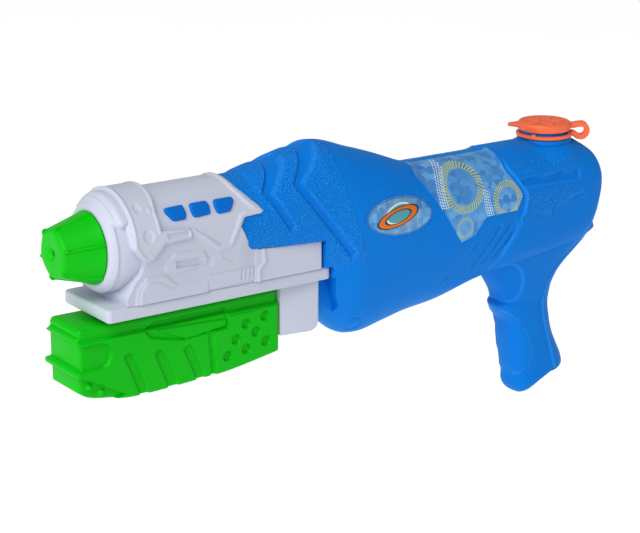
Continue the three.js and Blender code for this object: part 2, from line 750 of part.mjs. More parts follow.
// Nozzle, the hose that feeds it and the seal between them.
function buildNozzle() {
  const spigotRadius = hose.outer + seat + nozzle.spigotWall;
  const spigotBack = flangeBack + nozzle.spigotLength;
  const flangeRadius = neckRadius + nozzle.flangeOverlap;
  const cone = turnedX([
    [0, nozzle.orificeRadius], [0, nozzle.tipRadius - 1], [1, nozzle.tipRadius],
    [nozzle.length, nozzle.baseRadius],
    [nozzle.length, neckRadius], [flangeFront, neckRadius], [flangeFront, flangeRadius],
    [flangeBack, flangeRadius],
    [flangeBack, spigotRadius], [spigotBack, spigotRadius], [spigotBack, hose.outer + seat + 2 * ring.seal],
    [spigotBack - 3 * ring.seal, hose.outer + seat + 2 * ring.seal],
    [spigotBack - 3 * ring.seal, hose.outer + seat],
    [flangeFront, hose.outer + seat], [flangeFront, hose.bore], [nozzle.chamberWall, nozzle.orificeRadius],
  ], manySides);
  const lean = Math.atan2(nozzle.baseRadius - nozzle.tipRadius, nozzle.length);
  const length = (nozzle.length - run) / Math.cos(lean);
  const ribs = angles(nozzle.ribs).map((turn) => {
    const bar = new THREE.BoxGeometry(length - run, nozzle.ribWidth, 2 * nozzle.ribHeight);
    bar.rotateY(-lean).translate(nozzle.length / 2 + run / 2, 0, (nozzle.tipRadius + nozzle.baseRadius) / 2);
    return solid(bar.rotateX(Math.PI / 2 - turn - THREE.MathUtils.degToRad(nozzle.ribTurn)));
  });
  const pipe = hosePipe([
    [valve.outletX, plateBottom + seat], [valve.outletX, hose.level], [hose.riseX, hose.level],
    [hose.riseX, 0],
    [flangeFront + seat, 0],
  ]);
  const sealRadius = hose.outer + ring.seal + seat / 2;
  return group(
    made('nozzle', ribs.reduce((all, rib) => all.add(rib), cone), green),
    named('nozzle_seal', tidy(roundSeal(sealRadius, ring.seal).rotateY(Math.PI / 2)), rubber,
      [spigotBack - ring.seal - seat, 0, 0]),
    named('outlet_hose', pipe, clear),
  );
}

// A helical spring about Z from z = 0, as one unbroken wire.
function springGeometry(radius, wire, turns, length) {
  const steps = Math.round(8 * turns);
  const pitch = (length - wire) / turns;
  const rings = spread(0, 1, steps).map((t) => {
    const turn = 2 * Math.PI * turns * t;
    const along = new THREE.Vector3(-radius * Math.sin(turn), radius * Math.cos(turn), pitch / (2 * Math.PI));
    along.normalize();
    const out = new THREE.Vector3(Math.cos(turn), Math.sin(turn), 0);
    const up = along.clone().cross(out);
    return angles(5).map((around) => out.clone().multiplyScalar(radius + (wire / 2) * Math.cos(around))
      .addScaledVector(up, (wire / 2) * Math.sin(around))
      .add(new THREE.Vector3(0, 0, wire / 2 + (length - wire) * t)).toArray());
  });
  return tidy(skin(rings));
}

// Pump works in the housing: cylinder, gland, valve chest with its two ball valves, and seals.
function buildPumpWorks() {
  const z = pump.axisZ;
  const cylinder = rodX(tubeRadius, [tubeFront, chestFront - seat], 0, z, manySides / 2)
    .subtract(rodX(pump.boreRadius, [0, far], 0, z, manySides / 2));
  const gland = rodX(tubeRadius, [glandFront, glandFront + pump.gland], 0, z, manySides / 2)
    .subtract(rodX(pump.rodRadius + seat, [0, far], 0, z));
  const socketFront = valve.chestRear - valve.socketDepth;
  const seatFront = socketFront - valve.seatRing - seat;
  const wallFront = chestFront + pumpBox.wall;
  const seatZ = z + valve.boreRadius + valve.portRadius / 2;
  const seatRadius = valve.boreRadius + 2 * run;
  const unionFoot = valve.chestTop - 2 * valve.ballRadius / 3;
  const chest = box(
    [boxFront + pumpBox.wall + seat, valve.chestRear], [-valve.chestHalf, valve.chestHalf],
    [valve.chestBottom + pumpBox.wall, valve.chestTop],
  )
    .add(rodX(tubeRadius, [chestFront, boxFront + 2 * pumpBox.wall], 0, z, manySides / 2))
    .subtract(rodX(valve.portRadius, [0, far], 0, z, fewSides))
    .subtract(rodX(valve.boreRadius, [wallFront, socketFront], 0, z))
    .subtract(rodX(seatRadius + seat, [seatFront - seat, socketFront + run], 0, z))
    .subtract(rodX(valve.socketRadius, [socketFront, far], 0, z))
    .subtract(rodZ(valve.portRadius, valve.outletX, 0, [z, far], fewSides))
    .subtract(rodZ(valve.boreRadius, valve.outletX, 0, [seatZ, far]));
  const seatRing = rodX(seatRadius, [seatFront, seatFront + valve.seatRing], 0, z)
    .subtract(rodX(valve.portRadius, [0, far], 0, z, fewSides));
  const rest = Math.sqrt(valve.ballRadius ** 2 - valve.portRadius ** 2) + seat;
  const inletX = seatFront - rest;
  const outletZ = seatZ + rest;
  const unionHead = plateBottom - seat;
  const union = rodZ(valve.boreRadius - seat, valve.outletX, 0, [unionFoot, valve.chestTop + 2 * seat])
    .add(rodZ(valve.boreRadius + valve.portRadius, valve.outletX, 0, [valve.chestTop + seat, unionHead]))
    .add(rodZ(
      hose.bore - seat, valve.outletX, 0, [unionHead - run, plateBottom + valve.socketDepth], fewSides,
    ))
    .subtract(rodZ(hose.bore / 2, valve.outletX, 0, [-far, far], fewSides));
  const springRadius = valve.boreRadius - seat - valve.springWire;
  const inletLength = inletX - valve.ballRadius - wallFront - 2 * seat;
  const outletLength = unionFoot - outletZ - valve.ballRadius - 2 * seat;
  const coil = (length) => springGeometry(springRadius, valve.springWire, valve.springTurns, length);
  const ball = () => tidy(new THREE.SphereGeometry(valve.ballRadius, fewSides, fewSides / 2 + 1));
  const grommet = rodX(valve.socketRadius - seat, [socketFront + seat, boxRear], 0, z)
    .subtract(rodX(tank.spigotRadius + seat, [0, far], 0, z));
  return group(
    made('pump_cylinder', cylinder, clear),
    made('cylinder_gland', gland, white),
    made('valve_chest', chest, white),
    made('inlet_seat', seatRing, grey),
    made('outlet_union', union, grey),
    made('tank_grommet', grommet, rubber),
    named('inlet_ball', ball(), steel, [inletX, 0, z]),
    named('outlet_ball', ball(), steel, [valve.outletX, 0, outletZ]),
    named('inlet_spring',
      coil(inletLength).rotateY(Math.PI / 2), steel, [wallFront + seat, 0, z]),
    named('outlet_spring', coil(outletLength), steel, [valve.outletX, 0, outletZ + valve.ballRadius + seat]),
  );
}

// Fore-grip with the pump rod, piston, seal and the pin that holds the rod in the nose.
function buildForeGrip() {
  const z = pump.axisZ;
  const base = [
    [grip.front, grip.noseBottom], [grip.chinX, grip.chinBottom], [grip.bellyX, grip.bellyBottom],
    [grip.tailX, grip.tailBottom], [grip.rear, grip.rearBottom],
  ];
  const lowerSide = shape([[grip.front, grip.ledge], ...base, [grip.rear, grip.ledge]]);
  const lower = prismY(lowerSide, -grip.panelHalf, grip.panelHalf);
  const band = box([grip.front, grip.rear], [-grip.bandHalf, grip.bandHalf], [grip.ledge - run, grip.top]);
  const deep = grip.panelHalf - grip.reliefDepth;
  const flanks = (outline) => prismY(outline, deep, far).add(prismY(outline, -far, -deep));
  const mouth = [grip.front - run, grip.front + 20];
  const thumb = shape([
    [mouth[0], grip.ledge - 3], [mouth[1] - 5, grip.ledge - 3], [mouth[1], grip.ledge - 8],
    [mouth[1] - 1, grip.ledge - 15],
    [mouth[1] - 6, grip.ledge - 19], [mouth[0], grip.ledge - 20],
  ]);
  const wedge = shape([
    [grip.wedgeFront, grip.ledge + run], [grip.wedgeFront + 4, grip.ledge - 5],
    [grip.wedgeRear - 10, grip.ledge - 10],
    [grip.wedgeRear, grip.ledge - 6], [grip.wedgeRear, grip.ledge + run],
  ]);
  const slots = [[34, 14], [55, 12], [75, 11]].map(([x, lean]) => (
    flanks(barOutline([x, grip.ledge - 15], [x + lean, grip.bellyBottom - 6], grip.grooveWidth))
  ));
  slots.push(flanks(barOutline([93, grip.ledge - 9], [96, grip.bellyBottom - 6], grip.grooveWidth / 2)));
  const dimplePlaces = [[120, -59], [133.5, -57], [126.5, -65.5], [112.5, -68], [134, -73], [120, -75.5],
    [106, -77.5]];
  const dimples = dimplePlaces.map(([x, dz]) => (
    rodY(grip.dimpleRadius, x, [deep, far], dz, fewSides)
      .add(rodY(grip.dimpleRadius, x, [-far, -deep], dz, fewSides))
  ));
  const inside = grip.bandHalf - grip.wall;
  const noseBack = grip.front + 4 * grip.wall;
  const floor = base.slice(1).map(([x, low]) => [Math.min(x, grip.rear - grip.wall), low + grip.wall]);
  const tunnel = prismY(shape([
    [noseBack, grip.top - grip.wall], [noseBack, grip.noseBottom], ...floor,
    [grip.rear - grip.wall, guideBottom - run], [grip.rear + run, guideBottom - run],
    [grip.rear + run, grip.top - grip.wall],
  ]), -inside, inside)
    .add(box([pump.guideFront - run, far], [-grip.slotHalf, grip.slotHalf], [grip.top - 2 * grip.wall, far]));
  const rodEnd = grip.front + 2 * grip.wall;
  const rodRoom = rodX(pump.rodRadius + seat, [rodEnd - seat, far], 0, z);
  const pinSpan = [-grip.bandHalf / 2, grip.bandHalf / 2];
  const noseBlock = box([noseBack - run, noseBack + 8], [-inside - run, inside + run], [z - 9, z + 9]);
  const pinX = noseBack + 4;
  const pinRoom = rodY(pump.pinRadius + seat, pinX, [pinSpan[0] - seat, pinSpan[1] + seat], z, fewSides);
  const whole = lower.add(band);
  let body = [...slots, ...dimples].reduce((left, cut) => left.subtract(cut), whole);
  body = body.subtract(flanks(thumb)).subtract(flanks(wedge)).subtract(tunnel).add(noseBlock);
  body = bosses(gripScrews).reduce((all, boss) => all.add(boss.intersect(whole)), body);
  body = gripScrews.reduce((left, place) => left.subtract(screwRoom(place)), body);
  body = body.subtract(rodRoom).subtract(pinRoom);
  const shaft = rodX(pump.rodRadius, [rodEnd, pistonRear - pump.pistonLength / 3], 0, z)
    .subtract(rodY(pump.pinRadius + seat, pinX, [-far, far], z, fewSides));
  const pistonRadius = pump.boreRadius - pump.pistonSlack;
  const groove = (pistonFront + pistonRear) / 2;
  const piston = rodX(pistonRadius, [pistonFront, pistonRear], 0, z, manySides / 2)
    .subtract(rodX(far, [groove - 3 * ring.seal, groove + 3 * ring.seal], 0, z, manySides / 2)
      .subtract(rodX(pistonRadius - 2 * ring.seal, [0, far], 0, z, manySides / 2)))
    .subtract(rodX(pump.rodRadius + seat, [0, pistonRear - pump.pistonLength / 3 + seat], 0, z));
  const sealRadius = pump.boreRadius - ring.seal - seat / 2;
  return group(
    made('fore_grip_left', body.intersect(leftHalf), green),
    made('fore_grip_right', body.intersect(rightHalf), green),
    made('pump_rod', shaft, white),
    made('piston', piston, grey),
    named('piston_seal', tidy(roundSeal(sealRadius, ring.seal).rotateY(Math.PI / 2)), rubber, [groove, 0, z]),
    made('rod_pin', rodY(pump.pinRadius, pinX, pinSpan, z, fewSides), steel),
    ...screws('fore_grip_screw', gripScrews),
  );
}

// Filler cap, seal, strap ring and strap, turned together about the neck.
function buildCap() {
  const plugFoot = tank.neckTop - cap.plugDepth;
  const top = cap.rim + cap.height;
  const ceiling = tank.neckTop + run;
  const grooveFoot = plugFoot + ring.seal;
  const grooveTop = grooveFoot + 3 * ring.seal;
  const grooveRadius = cap.plugRadius - ring.groove;
  const lid = turnedZ([
    [cap.rim, cap.radius], [top - cap.wall / 2, cap.radius], [top, cap.radius - cap.wall / 2], [top, 0],
    [top - cap.wall, 0], [top - cap.wall, cap.plugRadius - cap.plugWall - run],
    [plugFoot, cap.plugRadius - cap.plugWall - run], [plugFoot, cap.plugRadius], [grooveFoot, cap.plugRadius],
    [grooveFoot, grooveRadius], [grooveTop, grooveRadius], [grooveTop, cap.plugRadius],
    [ceiling, cap.plugRadius],
    [ceiling, tank.neckRadius + run], [cap.rim, tank.neckRadius + run],
  ], manySides);
  const tab = prismZ(shape([
    [cap.wall - cap.radius, cap.tabHalf], [-cap.radius - cap.tabLength, seat],
    [-cap.radius - cap.tabLength, -seat],
    [cap.wall - cap.radius, -cap.tabHalf],
  ]), top - cap.wall - cap.tabThickness, top - cap.wall);
  const sealRadius = grooveRadius + ring.seal + seat;
  const sealHigh = (grooveFoot + grooveTop) / 2;
  const hoop = turnedZ([
    [strapRing.bottom, tank.neckRadius + seat], [strapRing.bottom, strapRing.radius],
    [strapRing.bottom + strapRing.height, strapRing.radius],
    [strapRing.bottom + strapRing.height, tank.neckRadius + seat],
  ], manySides);
  const r = strap.loopRadius;
  const knee = r * Math.SQRT1_2;
  const path = new THREE.CatmullRomCurve3([
    [strapRing.radius + seat, strapRing.bottom + strapRing.height / 2],
    [strapRing.radius + run + seat, strapRing.bottom + strapRing.height / 2],
    [strap.loopX - knee / 2, strap.loopZ - r * 0.96],
    [strap.loopX + knee, strap.loopZ - knee],
    [strap.loopX + r, strap.loopZ],
    [strap.loopX + knee, strap.loopZ + knee],
    [strap.loopX - knee / 2, strap.loopZ + r * 0.92],
    [cap.radius + run + seat, cap.rim + cap.height / 2],
    [cap.radius + seat, cap.rim + cap.height / 2],
  ].map(([x, z]) => new THREE.Vector3(x, 0, z)));
  const h = strap.thickness / 2;
  const section = shape([[-h, -strap.half], [h, -strap.half], [h, strap.half], [-h, strap.half]]);
  const band = new THREE.ExtrudeGeometry(section, { steps: 20, extrudePath: path });
  const holder = group(
    made('filler_cap', lid.add(tab), orange),
    named('cap_seal', tidy(roundSeal(sealRadius, ring.seal)), rubber, [0, 0, sealHigh]),
    made('cap_ring', hoop, orange),
    named('cap_strap', tidy(band), orange),
  );
  holder.position.set(neckX, 0, 0);
  holder.rotation.z = THREE.MathUtils.degToRad(cap.turn);
  return holder;
}

const squirter = group(
  buildTank(), buildHousing(), buildNozzle(), buildPumpWorks(), buildForeGrip(), buildCap(),
);
squirter.position.set(palm.set - tank.rear, 0, -palm.z);

export default squirter;
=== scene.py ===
"""Looks of a pump-action water squirter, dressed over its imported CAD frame.

Sizes are laid out as in the part: millimetres from the nozzle tip and the barrel axis, muzzle towards -X.
Every mesh is moved into the frame of the part, in metres, when it is made.
"""

from __future__ import annotations

import logging
import math
from dataclasses import dataclass, field
from enum import Enum
from typing import Callable, Sequence

import bmesh
import bpy
import numpy as np
from mathutils import Matrix, Vector

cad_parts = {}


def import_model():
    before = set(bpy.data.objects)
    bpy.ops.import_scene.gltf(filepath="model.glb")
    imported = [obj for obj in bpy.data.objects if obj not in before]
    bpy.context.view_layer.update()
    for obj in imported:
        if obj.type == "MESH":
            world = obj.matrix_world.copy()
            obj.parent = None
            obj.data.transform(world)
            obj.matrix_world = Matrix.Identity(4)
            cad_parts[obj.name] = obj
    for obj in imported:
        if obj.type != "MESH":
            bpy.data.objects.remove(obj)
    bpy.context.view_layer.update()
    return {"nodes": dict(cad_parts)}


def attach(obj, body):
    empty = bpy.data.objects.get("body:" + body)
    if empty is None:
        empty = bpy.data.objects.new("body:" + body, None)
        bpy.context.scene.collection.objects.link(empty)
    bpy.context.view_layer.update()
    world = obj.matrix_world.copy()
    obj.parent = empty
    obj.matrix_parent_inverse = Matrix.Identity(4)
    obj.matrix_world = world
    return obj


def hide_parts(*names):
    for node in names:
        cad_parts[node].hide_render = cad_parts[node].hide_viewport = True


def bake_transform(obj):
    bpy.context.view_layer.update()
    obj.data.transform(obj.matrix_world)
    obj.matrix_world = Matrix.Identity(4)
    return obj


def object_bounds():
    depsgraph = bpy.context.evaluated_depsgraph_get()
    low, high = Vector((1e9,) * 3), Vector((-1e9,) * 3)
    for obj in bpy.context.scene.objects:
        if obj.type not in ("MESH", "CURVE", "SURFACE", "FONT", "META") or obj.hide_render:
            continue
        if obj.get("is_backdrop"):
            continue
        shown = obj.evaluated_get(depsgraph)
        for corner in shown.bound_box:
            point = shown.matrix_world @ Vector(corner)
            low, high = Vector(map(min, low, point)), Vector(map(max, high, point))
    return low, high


LOG = logging.getLogger("water_squirter")
PALM = (360.0, 0.0, -105.0)
MM = 0.001
SEAM = 0.03
NECK_X = 374.2
Points = Sequence[tuple[float, float]]
Field = Callable[[np.ndarray, np.ndarray], np.ndarray]
Strength = Callable[[np.ndarray, np.ndarray, np.ndarray], np.ndarray]


def place(points: np.ndarray) -> np.ndarray:
    """Moves layout points in millimetres into the frame of the part, in metres.

    Args:
        points: One row of x, y, z for each point.

    Returns:
        The same rows in the frame of the part.
    """
    return (np.asarray(points, float) - np.array(PALM)) * MM


def spot(x: float, y: float, z: float) -> Vector:
    """Gives one layout point in the frame of the part."""
    return Vector(place(np.array([[x, y, z]]))[0])


def ease(value: np.ndarray) -> np.ndarray:
    """Gives a smooth rise from 0 to 1 as the value goes from 0 to 1."""
    t = np.clip(value, 0.0, 1.0)
    return t * t * (3.0 - 2.0 * t)


def rounding(near: np.ndarray, depth: float, reach: float) -> np.ndarray:
    """Gives how far a rounded edge falls away beside its border.

    Args:
        near: Distances from the border.
        depth: The fall at the border.
        reach: The distance from which the surface is level.

    Returns:
        The fall at each distance.
    """
    share = 1 - np.clip(near / reach, 0, 1)
    return depth * (1 - np.sqrt(np.clip(1 - share ** 2, 0, 1)))


def bowed(value: np.ndarray, power: np.ndarray) -> np.ndarray:
    """Raises a value to a power and keeps its sign."""
    return np.sign(value) * np.abs(value) ** power


def pick(table: np.ndarray, share: np.ndarray) -> np.ndarray:
    """Gives the rows of a table that stand at shares of its length, from 0 to 1."""
    return table[np.rint(share * (len(table) - 1)).astype(int)]


def flat(outline: Points, axis: int, at: float) -> np.ndarray:
    """Lays a flat outline in a plane.

    Args:
        outline: The corners in the plane's own two directions.
        axis: The direction across the plane: 0, 1 or 2 for x, y or z.
        at: The place of the plane along that direction.

    Returns:
        The corners as layout points.
    """
    return np.insert(np.array(outline, float), axis, at, axis=1)


@dataclass(frozen=True)
class Curve:
    """A smooth curve through a few points that never overshoots them."""

    points: Points

    def __call__(self, at: np.ndarray) -> np.ndarray:
        """Reads the curve.

        Args:
            at: The first coordinates to read it at.

        Returns:
            The second coordinates there.
        """
        table = sorted(self.points)
        u = np.array([p[0] for p in table])
        v = np.array([p[1] for p in table])
        slope = np.diff(v) / np.diff(u)
        before = np.concatenate([slope[:1], slope])
        after = np.concatenate([slope, slope[-1:]])
        product = before * after
        total = np.where(product > 0, before + after, 1.0)
        tangent = np.where(product > 0, 2 * product / total, 0.0)
        at = np.clip(np.asarray(at, float), u[0], u[-1])
        i = np.clip(np.searchsorted(u, at, side="right") - 1, 0, len(u) - 2)
        width = u[i + 1] - u[i]
        t = (at - u[i]) / width
        level = (1 + 2 * t) * (1 - t) ** 2 * v[i] + t * t * (3 - 2 * t) * v[i + 1]
        return level + width * t * (1 - t) * ((1 - t) * tangent[i] - t * tangent[i + 1])


class MarkKind(Enum):
    """The kinds of moulded mark in a side view."""

    PANEL = "panel"
    LINE = "line"
    DISC = "disc"


@dataclass(frozen=True)
class Mark:
    """A raised or sunk mark on a moulded side, in side-view millimetres."""

    kind: MarkKind
    points: Points
    height: float
    width: float = 1.0
    edge: float = 1.0

    def distance(self, x: np.ndarray, z: np.ndarray) -> np.ndarray:
        """Measures the way to the mark's border.

        Args:
            x: Side-view positions along the barrel.
            z: Side-view heights.

        Returns:
            The distance, negative inside the mark.
        """
        if self.kind is MarkKind.DISC:
            cx, cz = self.points[0]
            return np.hypot(x - cx, z - cz) - self.width
        pairs = list(zip(self.points, self.points[1:]))
        if self.kind is MarkKind.PANEL:
            pairs.append((self.points[-1], self.points[0]))
        least = np.full(np.shape(x), 1e9)
        inside = np.zeros(np.shape(x), bool)
        for (ax, az), (bx, bz) in pairs:
            ex, ez = bx - ax, bz - az
            t = np.clip(((x - ax) * ex + (z - az) * ez) / (ex * ex + ez * ez), 0.0, 1.0)
            least = np.minimum(least, np.hypot(x - ax - t * ex, z - az - t * ez))
            if abs(ez) > 1e-9:
                inside ^= ((az > z) != (bz > z)) & (x < ax + ex * (z - az) / ez)
        if self.kind is MarkKind.PANEL:
            return np.where(inside, -least, least)
        return least - self.width / 2

    def cover(self, x: np.ndarray, z: np.ndarray) -> np.ndarray:
        """Gives 1 inside the mark, 0 outside and a soft edge between."""
        return ease(0.5 - self.distance(x, z) / self.edge)

    def rise(self, x: np.ndarray, z: np.ndarray) -> np.ndarray:
        """Gives the mark's height at side-view points."""
        return self.height * self.cover(x, z)


def panel(height: float, points: Points, edge: float = 1.0) -> Mark:
    """Makes a raised or sunk field with an outline."""
    return Mark(MarkKind.PANEL, points, height, edge=edge)


def groove(height: float, points: Points, width: float, edge: float = 1.0) -> Mark:
    """Makes a raised or sunk bar along a line."""
    return Mark(MarkKind.LINE, points, height, width, edge)


def disc(height: float, centre: tuple[float, float], radius: float, edge: float = 1.0) -> Mark:
    """Makes a raised or sunk round spot."""
    return Mark(MarkKind.DISC, [centre], height, radius, edge)


def ribbon(points: Points, widths: Sequence[float]) -> list[tuple[float, float]]:
    """Gives the outline of a band along a line.

    Args:
        points: The middle line.
        widths: The band's width at each point.

    Returns:
        The outline, up one side and down the other.
    """
    middle = np.array(points, float)
    along = np.gradient(middle, axis=0)
    across = np.stack([-along[:, 1], along[:, 0]], axis=1) / np.hypot(*along.T)[:, None]
    reach = np.array(widths)[:, None] / 2
    sides = np.concatenate([middle + across * reach, (middle - across * reach)[::-1]])
    return [(float(a), float(b)) for a, b in sides]


def relief(marks: Sequence[Mark], x: np.ndarray, z: np.ndarray) -> np.ndarray:
    """Adds up the heights of several marks at side-view points."""
    return sum((m.rise(x, z) for m in marks), np.zeros(np.shape(x)))


class Mesher:
    """Makes, joins and finishes the meshes of pieces."""

    @staticmethod
    def sheet(
        rows: int, cols: int, mapping: Field, wrap: bool = True, caps: bool = True,
    ) -> bmesh.types.BMesh:
        """Bends a grid into a sheet, a tube or a closed skin.

        Args:
            rows: Steps along the first direction.
            cols: Steps along the second direction.
            mapping: Gives layout points for the two directions, each from 0 to 1.
            wrap: Whether sides that meet are merged.
            caps: Whether open rims are closed with flat faces.

        Returns:
            The mesh, in the frame of the part.
        """
        bm = bmesh.new()
        bmesh.ops.create_grid(bm, x_segments=rows, y_segments=cols, size=0.5)
        grid = np.array([v.co[:2] for v in bm.verts]) + 0.5
        for vert, co in zip(bm.verts, place(mapping(grid[:, 0], grid[:, 1]))):
            vert.co = co
        if wrap:
            bmesh.ops.remove_doubles(bm, verts=bm.verts, dist=2e-6)
            bmesh.ops.dissolve_degenerate(bm, edges=bm.edges, dist=1e-6)
        if caps:
            rims = [e for e in bm.edges if e.is_boundary]
            bmesh.ops.holes_fill(bm, edges=rims, sides=0)
        bmesh.ops.recalc_face_normals(bm, faces=bm.faces)
        return bm

    @staticmethod
    def block(rows: int, cols: int, mapping: Field) -> bmesh.types.BMesh:
        """Makes a solid whose left side is a relief and whose walls run straight to the parting plane.

        Args:
            rows: Steps along the side.
            cols: Steps up the side.
            mapping: Gives layout points of the side.

        Returns:
            The closed mesh, in the frame of the part.
        """
        bm = Mesher.sheet(rows, cols, mapping, wrap=False, caps=False)
        rims = [e for e in bm.edges if e.is_boundary]
        grown = bmesh.ops.extrude_edge_only(bm, edges=rims)["geom"]
        for vert in (v for v in grown if isinstance(v, bmesh.types.BMVert)):
            vert.co.y = -SEAM * MM
        bmesh.ops.holes_fill(bm, edges=[e for e in bm.edges if e.is_boundary], sides=0)
        bmesh.ops.recalc_face_normals(bm, faces=bm.faces)
        return bm

    @staticmethod
    def prism(
        outline: np.ndarray, way: Sequence[float], bevel: float = 0.0, steps: int = 3,
    ) -> bmesh.types.BMesh:
        """Draws a flat outline out into a solid with rounded edges.

        Args:
            outline: Layout points of the first face.
            way: The layout offset to the second face.
            bevel: The radius of the rounded edges, or 0.
            steps: Faces across a rounded edge.

        Returns:
            The closed mesh, in the frame of the part.
        """
        bm = bmesh.new()
        face = bm.faces.new([bm.verts.new(p) for p in place(outline)])
        moved = bmesh.ops.extrude_face_region(bm, geom=[face])["geom"]
        corners = [v for v in moved if isinstance(v, bmesh.types.BMVert)]
        bmesh.ops.translate(bm, verts=corners, vec=Vector(way) * MM)
        bmesh.ops.recalc_face_normals(bm, faces=bm.faces)
        if bevel:
            sharp = [
                e for e in bm.edges
                if e.calc_face_angle(0.0) > 0.4 and any(abs(v.co.y) > 2 * SEAM * MM for v in e.verts)
            ]
            bmesh.ops.bevel(
                bm, geom=sharp, offset=bevel * MM, segments=steps, profile=0.5, affect="EDGES",
                material=-1, clamp_overlap=True,
            )
        bmesh.ops.recalc_face_normals(bm, faces=bm.faces)
        return bm

    @staticmethod
    def turned(
        profile: Points, sides: int, centre: Sequence[float], axis: str,
    ) -> bmesh.types.BMesh:
        """Spins a profile of (position along the axis, radius) into a closed turned piece.

        Args:
            profile: The profile's corners, closed on themselves unless they start and end on the axis.
            sides: Steps round the axis.
            centre: A layout point on the axis.
            axis: "X", "Y" or "Z".

        Returns:
            The closed mesh, in the frame of the part.
        """
        bm = bmesh.new()
        along = Vector([float(axis == letter) for letter in "XYZ"])
        out = Vector((0, -1, 0)) if axis == "X" else Vector((1, 0, 0))
        foot = spot(*centre)
        verts = [bm.verts.new(foot + (along * a + out * r) * MM) for a, r in profile]
        edges = [bm.edges.new(pair) for pair in zip(verts, verts[1:])]
        if profile[0][1] > 0 or profile[-1][1] > 0:
            edges.append(bm.edges.new((verts[-1], verts[0])))
        bmesh.ops.spin(
            bm, geom=verts + edges, cent=foot, axis=along, angle=2 * math.pi, steps=sides,
            use_merge=True, use_duplicate=False,
        )
        bmesh.ops.remove_doubles(bm, verts=bm.verts, dist=2e-6)
        bmesh.ops.recalc_face_normals(bm, faces=bm.faces)
        return bm

    @staticmethod
    def mirrored(bm: bmesh.types.BMesh) -> bmesh.types.BMesh:
        """Gives a copy of a mesh on the other side of the parting plane."""
        twin = bm.copy()
        bmesh.ops.scale(twin, vec=Vector((1, -1, 1)), verts=twin.verts)
        bmesh.ops.recalc_face_normals(twin, faces=twin.faces)
        return twin

    @staticmethod
    def linked(bm: bmesh.types.BMesh, name: str) -> bpy.types.Object:
        """Puts a mesh in the scene as an object at the origin, and uses the mesh up.

        Args:
            bm: The mesh.
            name: The name of the object.

        Returns:
            The object.
        """
        mesh = bpy.data.meshes.new(name)
        bm.to_mesh(mesh)
        bm.free()
        made = bpy.data.objects.new(name, mesh)
        bpy.context.scene.collection.objects.link(made)
        return made

    @staticmethod
    def cut(bm: bmesh.types.BMesh, *cutters: bmesh.types.BMesh) -> bmesh.types.BMesh:
        """Cuts a closed mesh with others.

        Args:
            bm: The mesh to cut, used up.
            cutters: The closed meshes to take away, used up.

        Returns:
            What is left.
        """
        work = Mesher.linked(bm, "work")
        tools = [Mesher.linked(cutter, "cutter") for cutter in cutters]
        for tool in tools:
            step = work.modifiers.new("cut", "BOOLEAN")
            step.operation = "DIFFERENCE"
            step.solver = "EXACT"
            step.object = tool
        depsgraph = bpy.context.evaluated_depsgraph_get()
        mesh = bpy.data.meshes.new_from_object(work.evaluated_get(depsgraph))
        left = bmesh.new()
        left.from_mesh(mesh)
        for held in (mesh, *(one.data for one in (work, *tools))):
            bpy.data.meshes.remove(held)
        return left

    @staticmethod
    def piece(name: str, shells: Sequence[bmesh.types.BMesh], sharp: float = 38.0) -> bpy.types.Object:
        """Joins shells into one named piece with soft shading and sharp corners.

        Args:
            name: The name of the piece.
            shells: The meshes it is made of.
            sharp: The angle in degrees past which an edge is shaded sharp.

        Returns:
            The new object, at the origin.
        """
        whole = bmesh.new()
        for shell in shells:
            held = bpy.data.meshes.new("held")
            shell.to_mesh(held)
            shell.free()
            whole.from_mesh(held)
            bpy.data.meshes.remove(held)
        for face in whole.faces:
            face.smooth = True
        for edge in whole.edges:
            edge.smooth = edge.calc_face_angle(0.0) < math.radians(sharp)
        return Mesher.linked(whole, name)


def linear(code: str) -> tuple[float, float, float, float]:
    """Turns a colour code such as "0b6bd0" into linear light with full cover."""
    parts = [int(code[i:i + 2], 16) / 255 for i in (0, 2, 4)]
    light = [c / 12.92 if c <= 0.04045 else ((c + 0.055) / 1.055) ** 2.4 for c in parts]
    return (light[0], light[1], light[2], 1.0)


